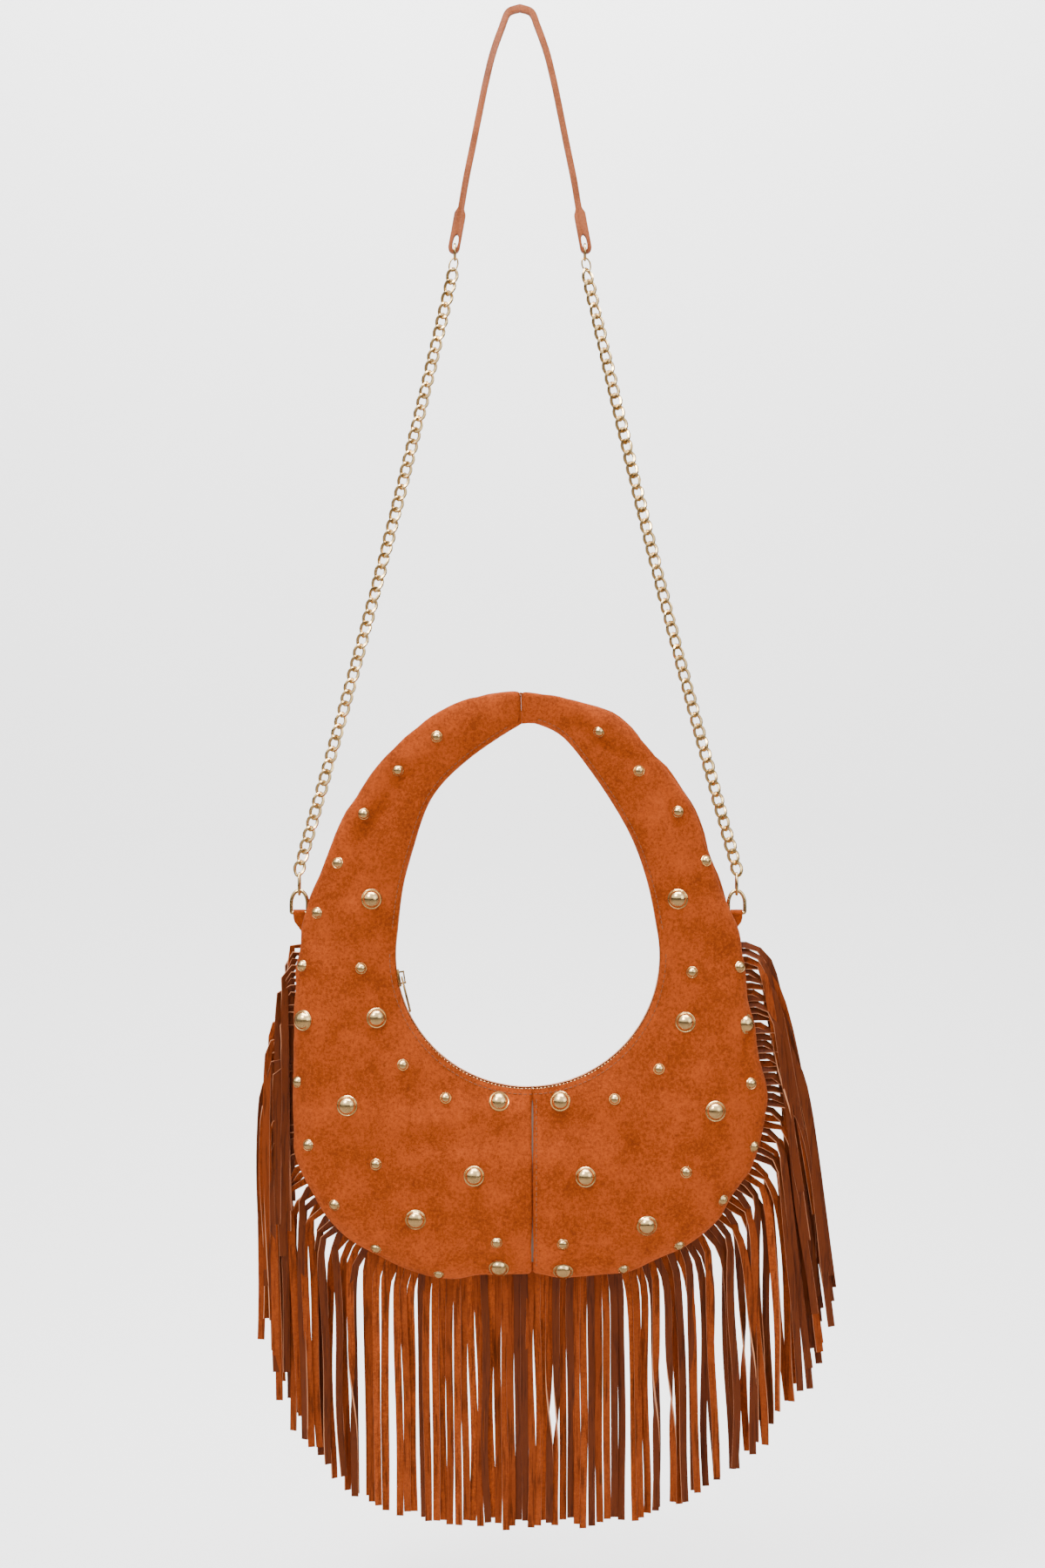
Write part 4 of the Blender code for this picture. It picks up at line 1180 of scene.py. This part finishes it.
class BAG_OT_rings(bpy.types.Operator):
    """Make the suede tabs and the D-rings they hold"""
    bl_idname = "bag.rings"
    bl_label = "Tabs and D-Rings"

    def tab(self, half):
        bend = [(1.95 * MM * cos(a), 1.95 * MM * sin(a))
                for a in (radians(235) - radians(290) * k / 20 for k in range(21))]
        leg = 0.45 * MM
        path = [(-leg, -17 * MM), (-leg, -13 * MM), (-leg, -10 * MM), (-leg, -6 * MM),
                (-leg, -3.3 * MM)] + bend
        path += [(leg, -3.3 * MM), (leg, -6 * MM), (leg, -10 * MM), (leg, -13 * MM),
                 (leg, -17 * MM)]
        inward = 1 if half == "left" else -1
        rows = []
        for y, z in path:
            drop = max(0.0, -z - 5.0 * MM) / (12.0 * MM)
            shift = D_RING_X[half] + inward * 9.0 * MM * drop
            rows.append([Vector((shift + x * MM, y, BAR_Z + z))
                         for x in (-3.8, -1.9, 0, 1.9, 3.8)])
        thing = place(f"suede_tab_{half}", grid_mesh(f"suede_tab_{half}", rows),
                      suede_finish())
        solidify(thing, 0.6 * MM, 0.0)
        return bake(thing, radians(50))

    def execute(self, context):
        for half in ("left", "right"):
            attach(self.tab(half), "bag", "suede", f"ring_tab_{half}")
            shoulder, corner = 6.0 * MM, 0.9 * MM
            bow = [(D_HALF_WIDTH * cos(a), shoulder + (D_HEIGHT - shoulder) * sin(a))
                   for a in (pi * k / 28 for k in range(29))]
            turns = [(corner * sin(a), corner * (1 - cos(a)))
                     for a in (pi / 2 * k / 4 for k in range(5))]
            foot = [(D_HALF_WIDTH - corner + x, z) for x, z in turns]
            points = [(-x, z) for x, z in reversed(foot)] + foot + bow
            ring = wire(f"gold_d_ring_{half}",
                        [Vector((D_RING_X[half] + x, 0.0, BAR_Z + z)) for x, z in points],
                        D_WIRE, chain_gold(), closed=True)
            attach(ring, "d_rings", "chain_gold", f"d_ring_{half}")
        return {"FINISHED"}


class BAG_OT_chains(bpy.types.Operator):
    """Make both curb chains and the rings at their ends"""
    bl_idname = "bag.chains"
    bl_label = "Chains"

    def execute(self, context):
        pitch = context.scene.bag_metal.link_pitch
        half_length = (pitch + 2.1 * MM) / 2
        for half, hand in (("left", -1), ("right", 1)):
            ring = Vector((hand * STRAP_RING_X, 0, STRAP_RING_Z))
            link = Vector((D_RING_X[half], 0, BAR_Z + D_HEIGHT - D_WIRE - 0.35 * MM
                           + LINK_HALF_LENGTH - LINK_WIRE))
            top = ring - Vector((0, 0, STRAP_RING_RADIUS - END_WIRE - 0.9 * MM + half_length))
            bottom = link + Vector((0, 0, LINK_HALF_LENGTH - 1.8 * MM + half_length))
            count = round((top - bottom).length / pitch)
            spots = []
            for k in range(count + 1):
                point = top.lerp(bottom, k / count)
                point.x -= hand * CHAIN_SAG * sin(pi * k / count)
                spots.append(point)
            seats = []
            for k, spot in enumerate(spots[1:], 1):
                run = (spots[max(k - 1, 0)] - spots[min(k + 1, count)]).normalized()
                turn = radians(16) * sin(k * 0.21 + hand) + radians(10) * sin(k * 1.9)
                out = Vector((sin(turn), -cos(turn), 0))
                out = (out - run * out.dot(run)).normalized()
                seats.append(Matrix.Translation(spot)
                             @ Matrix((out.cross(run) * -1, out * -1, run)).transposed()
                             .to_4x4())
            shape = link_mesh(f"curb_link_{half}", half_length, CURB_HALF_WIDTH, CURB_WIRE,
                              radians(40))
            attach(seat_copies(f"curb_chain_{half}", seats, shape, chain_gold()), "chains",
                   "chain_gold", f"chain_{half}")
            high = ring - Vector((0, 0, STRAP_RING_RADIUS - END_WIRE - JUMP_WIRE))
            low = spots[1] + Vector((0, 0, half_length - JUMP_WIRE - CURB_WIRE))
            middle, tall = (high + low) / 2, (high.z - low.z) / 2
            jump = [Vector((high.x + (low.x - high.x) * (0.5 - 0.5 * cos(a))
                            + JUMP_HALF_WIDTH * sin(a), 0, middle.z + tall * cos(a)))
                    for a in (2 * pi * k / 36 for k in range(36))]
            attach(wire(f"jump_link_{half}", jump, JUMP_WIRE, chain_gold(), closed=True),
                   "chains", "chain_gold")
            for name, spot, tall, wide, radius in (
                    ("strap_ring", ring, STRAP_RING_RADIUS, STRAP_RING_RADIUS, END_WIRE),
                    ("end_link", link, LINK_HALF_LENGTH, LINK_HALF_WIDTH, LINK_WIRE)):
                points = [spot + Vector((0, wide * sin(a), tall * cos(a)))
                          for a in (2 * pi * k / 40 for k in range(40))]
                attach(wire(f"gold_{name}_{half}", points, radius, chain_gold(),
                            closed=True), "chains", "chain_gold", f"{name}_{half}")
        return {"FINISHED"}


class BAG_OT_strap(bpy.types.Operator):
    """Make the leather strap with its sewn loops"""
    bl_idname = "bag.strap"
    bl_label = "Leather Strap"

    def outline(self):
        right = smooth_line(STRAP_ROUTE, 12)
        line = [Vector((-p.x, p.y)) * MM for p in reversed(right[1:])] + [p * MM for p in right]
        total = line_length(line)
        upper, lower, gone = [], [], 0.0
        for k, point in enumerate(line):
            gone += (point - line[k - 1]).length if k else 0.0
            run = (line[min(k + 1, len(line) - 1)] - line[max(k - 1, 0)]).normalized()
            half = ease(((0.0, STRAP_END_HALF / MM), (STRAP_FOLD - 2 * MM, STRAP_END_HALF / MM),
                         (STRAP_FOLD + 2 * MM, STRAP_HALF / MM)), min(gone, total - gone)) * MM
            side = Vector((-run.y, run.x)) * half
            upper.append(point + side)
            lower.append(point - side)
        caps = []
        for end, near in ((line[-1], line[-2]), (line[0], line[1])):
            run = (end - near).normalized()
            side = Vector((-run.y, run.x))
            caps.append([end + (side * cos(a) + run * sin(a)) * STRAP_END_HALF
                         for a in (pi * k / 14 for k in range(1, 14))])
        return upper + caps[0] + lower[::-1] + caps[1]

    def prism(self, name, outline, half_width):
        def build(shape):
            face = shape.faces.new([shape.verts.new((p.x, -half_width, p.y))
                                    for p in outline])
            drawn = bmesh.ops.extrude_face_region(shape, geom=[face])["geom"]
            moved = [item for item in drawn if isinstance(item, bmesh.types.BMVert)]
            bmesh.ops.translate(shape, verts=moved, vec=(0.0, 2 * half_width, 0.0))
        return place(name, mesh_from(name, build), tan_finish())

    def execute(self, context):
        strap = self.prism("tan_strap", self.outline(), STRAP_HALF_WIDTH - STRAP_CLEARANCE)
        cutters, seats = [], []
        for half, hand in (("left", -1), ("right", 1)):
            centre = Vector((hand * EYE_CENTRE[0], EYE_CENTRE[1])) * MM
            run = Vector((hand * sin(EYE_SLANT), -cos(EYE_SLANT)))
            side = Vector((-run.y, run.x))
            ring = [centre + run * EYE_HALF_LENGTH * cos(a) + side * EYE_HALF_WIDTH * sin(a)
                    for a in (2 * pi * k / 24 for k in range(24))]
            cutter = self.prism(f"eye_{half}", ring, 2 * STRAP_HALF_WIDTH)
            cutters.append(cutter)
            eye = strap.modifiers.new(f"eye {half}", "BOOLEAN")
            eye.operation, eye.object = "DIFFERENCE", cutter
            up, out = -run, side * (1 if side.x * hand > 0 else -1)
            for y in (-2.3, 2.3):
                for k in range(4):
                    spot = centre + up * (8.2 + 2.9 * k) * MM + out * 3.7 * MM
                    seats.append(frame_matrix(Vector((spot.x, y * MM, spot.y)),
                                              Vector((up.x, 0, up.y)),
                                              Vector((out.x, 0, out.y))))
        round_edges(strap, context.scene.bag_strap.rounding)
        attach(bake(strap), "shoulder_strap", "tan_leather", "shoulder_strap")
        for cutter in cutters:
            bpy.data.objects.remove(cutter)
        thread = thread_finish("pale thread", (0.42, 0.24, 0.12))
        attach(seat_copies("strap_stitches", seats,
                           stitch_mesh("strap_stitch", 2.2 * MM, 0.26 * MM), thread),
               "shoulder_strap", "tan_leather")
        return {"FINISHED"}


class BAG_OT_fringe(bpy.types.Operator):
    """Hang the strands of the slit suede strip round the outer seam"""
    bl_idname = "bag.fringe"
    bl_label = "Fringe"

    def strand(self, seam, out, share, number, length):
        """Centre line of one strand and the way its width lies at each point."""
        wander = [noise.noise(Vector((number * 0.37, 3.1 * k, 7.7))) for k in range(5)]
        begin = max(-1.6, min(1.6, atan2(out.x, -out.y)))
        sideways = min(1.0, abs(begin) / 1.1) ** 1.5
        end_way = ease(((0.0, 0.5), (0.22, 1.5), (0.4, 0.8), (0.55, 0.2), (0.72, 2.0),
                        (0.86, 7.5), (1.0, 9.5)), share)
        end_way = radians(end_way + (0.9 + 2.8 * sideways) * wander[0])
        # how far the strand runs straight out of the seam, and how slowly it then turns down
        loose = 0.5 + 0.5 * sin(number * 2.399)
        grown = min(1.0, min(share, 1.0 - share) / 0.13)
        if share < 0.5:
            reach = (6.4 + 3.4 * loose * grown) * MM
            bend = (1.5 + (1.5 + 5.0 * loose) * grown) * MM
        else:
            reach, bend = (6.4 + 4.0 * loose * grown) * MM, (5.0 + 8.0 * loose) * MM
        # strands at the sides lie in deeper layers, since they hang over each other
        layer = (1.3 + 4.3 * sideways) * sin(number * 1.7) + 2.0 * sideways
        point, points, ways = seam - out * FRINGE_HEADER, [], []
        step = (length * (0.982 + 0.05 * wander[1]) + FRINGE_HEADER) / STRAND_STEPS
        for k in range(STRAND_STEPS + 1):
            gone = k * step
            hang = exp(-max(0.0, gone - reach) / bend)
            way = end_way + (begin - end_way) * hang
            wave = radians(4 + 4 * sideways) * sin(gone * 46 + number * 1.3)
            way += wave * wander[2] * (1 - hang)
            y = layer * MM * min(1.0, max(0.0, gone - 8 * MM) / 0.04)
            y += 1.3 * MM * sin(gone * 34 + number) * min(1.0, gone / 0.06)
            points.append(DATUM + Vector((point.x, y, point.y)))
            ways.append(way)
            point = point + Vector((sin(way), -cos(way))) * step
        # most strands show one face throughout, and a few turn right over on the way down
        side_up = noise.noise(Vector((number * 0.91, 0.5, 2.2)))
        reverse = pi if side_up > 0.27 - 0.3 * sideways else 0
        twist = pi if wander[4] > 0.41 else radians(16 + 50 * sideways) * wander[3]
        across = []
        for k, way in enumerate(ways):
            turn = min(1.0, max(0.0, (k - 6) / 9.0))
            middle, spread_out = (20, 8) if share < 0.5 else (17, 10)
            edge_on = radians(60) * sideways * exp(-((k * step / MM - middle)
                                                     / spread_out) ** 2)
            a = reverse + edge_on + radians(9) * sin(number * 2.1)
            a += twist * turn * turn * (3 - 2 * turn)
            taper = 1.0 - 0.08 * k / STRAND_STEPS
            across.append((Vector((cos(way), 0, sin(way))) * cos(a) + Vector((0, sin(a), 0)))
                          * taper)
        return points, across

    def execute(self, context):
        settings = context.scene.bag_fringe
        line = seam_line()
        length = line_length(line)
        count = settings.strands
        pitch = length / count
        verts, edges, acrosses, tones = [], [], [], []
        for number in range(count):
            share = (number + 0.5) / count
            seam = along(line, share)
            run = along(line, min(share + 0.008, 1.0)) - along(line, max(share - 0.008, 0.0))
            out = Vector((run.y, -run.x)).normalized()
            points, across = self.strand(seam, out, share, number, settings.length)
            start = len(verts)
            verts += points
            edges += [(start + k, start + k + 1) for k in range(len(points) - 1)]
            acrosses += across
            tone = 0.5 + 0.9 * noise.noise(Vector((number * 1.7, 9.1, 0.3)))
            tones += [max(0.0, min(1.0, tone))] * len(points)
        mesh = bpy.data.meshes.new("suede_fringe")
        mesh.from_pydata(verts, edges, [])
        mesh.attributes.new("across", "FLOAT_VECTOR", "POINT")
        mesh.attributes.new("tone", "FLOAT", "POINT")
        mesh.attributes["across"].data.foreach_set("vector", [c for a in acrosses for c in a])
        mesh.attributes["tone"].data.foreach_set("value", tones)
        fringe = run_tree(place("suede_fringe", mesh), ribbon_tree(),
                          {"Width": pitch * STRAND_WIDTH_SHARE, "Thickness": settings.thickness,
                           "Finish": strand_finish()})
        attach(fringe, "bag", "fringe_suede", "fringe")
        return {"FINISHED"}


class BAG_OT_stage(bpy.types.Operator):
    """Set the floor, backdrop, soft lights and camera"""
    bl_idname = "bag.stage"
    bl_label = "Stage"

    def execute(self, context):
        settings = context.scene.bag_stage
        bend_y, bend_z = WALL_Y - STAGE_BEND, FLOOR_Z + STAGE_BEND
        profile = [(-STAGE_REACH, FLOOR_Z), (bend_y, FLOOR_Z)]
        profile += [(bend_y + STAGE_BEND * sin(a), bend_z - STAGE_BEND * cos(a))
                    for a in (pi / 2 * k / 16 for k in range(1, 17))]
        profile.append((WALL_Y, WALL_TOP))
        rows = [[Vector((x, y, z)) for x in (-STAGE_REACH, STAGE_REACH)] for y, z in profile]
        paper = bpy.data.materials.new("pale paper")
        paper.use_nodes = True
        tree = paper.node_tree
        shader = tree.nodes["Principled BSDF"]
        shader.inputs["Roughness"].default_value = 0.9
        # Painted dark reflection: the camera sees the floor's pale colour, but glossy rays see
        # dark brown, so the metal reflects a darker floor
        ray = tree.nodes.new("ShaderNodeLightPath")
        dim = mixed(tree, ray.outputs["Is Glossy Ray"], (*settings.floor_colour, 1.0),
                    (0.16, 0.13, 0.11, 1.0))
        tree.links.new(dim, shader.inputs["Base Color"])
        clear = tree.nodes.new("ShaderNodeBsdfTransparent")
        blend = tree.nodes.new("ShaderNodeMixShader")
        facing = tree.nodes.new("ShaderNodeNewGeometry")
        tree.links.new(facing.outputs["Backfacing"], blend.inputs[0])
        tree.links.new(shader.outputs[0], blend.inputs[1])
        tree.links.new(clear.outputs[0], blend.inputs[2])
        tree.links.new(blend.outputs[0], tree.nodes["Material Output"].inputs["Surface"])
        floor = place("studio_floor", grid_mesh("studio_floor", rows, flip=True), paper)
        floor.data.shade_smooth()
        rear = [[Vector((x, y, FLOOR_Z - 2 * MM)) for x in (-STAGE_REACH, STAGE_REACH)]
                for y in (0.5, STAGE_REACH)]
        rear_floor = place("studio_floor_rear", grid_mesh("studio_floor_rear", rear, flip=True),
                           paper)
        for name, spot, aim, size, power in LAMPS:
            lamp = bpy.data.lights.new(name, "AREA")
            lamp.size, lamp.energy = size, power * settings.light
            lamp_object = bpy.data.objects.new(name, lamp)
            lamp_object.location = spot
            lamp_object.rotation_euler = (Vector(aim) - Vector(spot)).to_track_quat(
                "-Z", "Y").to_euler()
            context.scene.collection.objects.link(lamp_object)
        world = bpy.data.worlds.new("studio")
        world.use_nodes = True
        sky = world.node_tree
        background = sky.nodes["Background"]
        where, parts = sky.nodes.new("ShaderNodeTexCoord"), sky.nodes.new("ShaderNodeSeparateXYZ")
        sky.links.new(where.outputs["Generated"], parts.inputs[0])
        height = spread(sky, parts.outputs["Z"], -0.5, 0.75, 0.0, 1.0)
        soft = mixed(sky, height, (0.12, 0.11, 0.10, 1.0), (1.0, 1.0, 1.0, 1.0))
        box_light = spread(sky, parts.outputs["Z"], 0.14, 0.30, 0.0, 1.0)
        cards = mixed(sky, box_light, (0.035, 0.024, 0.018, 1.0), (1.9, 1.9, 1.9, 1.0))
        ray = sky.nodes.new("ShaderNodeLightPath")
        seen = mixed(sky, ray.outputs["Is Glossy Ray"], soft, cards)
        colour = mixed(sky, ray.outputs["Is Camera Ray"], seen, (1.25, 1.25, 1.25, 1.0))
        sky.links.new(colour, background.inputs["Color"])
        background.inputs["Strength"].default_value = 0.62 * settings.light
        context.scene.world = world
        camera = bpy.data.cameras.new("camera")
        camera.lens = CAMERA_LENS
        eye = bpy.data.objects.new("camera", camera)
        eye.location = CAMERA_PLACE
        eye.rotation_euler = (pi / 2, 0.0, 0.0)
        context.scene.collection.objects.link(eye)
        context.scene.camera = eye
        return {"FINISHED"}


class BAG_PT_panel(bpy.types.Panel):
    """Settings and steps of the bag"""
    bl_idname = "BAG_PT_panel"
    bl_label = "Fringed Suede Bag"
    bl_space_type = "VIEW_3D"
    bl_region_type = "UI"
    bl_category = "Bag"

    def draw(self, context):
        for label, group_name, _ in SETTINGS:
            settings = getattr(context.scene, group_name)
            part = self.layout.box()
            part.label(text=label)
            for prop in type(settings).__annotations__:
                part.prop(settings, prop)
        for step in STEPS:
            self.layout.operator(step.bl_idname)


STEPS = (BAG_OT_shell, BAG_OT_lining, BAG_OT_studs, BAG_OT_stitches, BAG_OT_zip,
         BAG_OT_rings, BAG_OT_chains, BAG_OT_strap, BAG_OT_fringe, BAG_OT_stage)
SETTINGS = (("Suede", "bag_suede", BagSuede), ("Fringe", "bag_fringe", BagFringe),
            ("Metal", "bag_metal", BagMetal), ("Strap", "bag_strap", BagStrap),
            ("Stage", "bag_stage", BagStage))


def register():
    for _, name, kind in SETTINGS:
        bpy.utils.register_class(kind)
        setattr(bpy.types.Scene, name, bpy.props.PointerProperty(type=kind))
    for step in STEPS:
        bpy.utils.register_class(step)
    bpy.utils.register_class(BAG_PT_panel)


def unregister():
    bpy.utils.unregister_class(BAG_PT_panel)
    for step in reversed(STEPS):
        bpy.utils.unregister_class(step)
    for _, name, kind in reversed(SETTINGS):
        delattr(bpy.types.Scene, name)
        bpy.utils.unregister_class(kind)


def main():
    register()
    for step in STEPS:
        family, name = step.bl_idname.split(".")
        getattr(getattr(bpy.ops, family), name)()


if __name__ == "__main__":
    main()
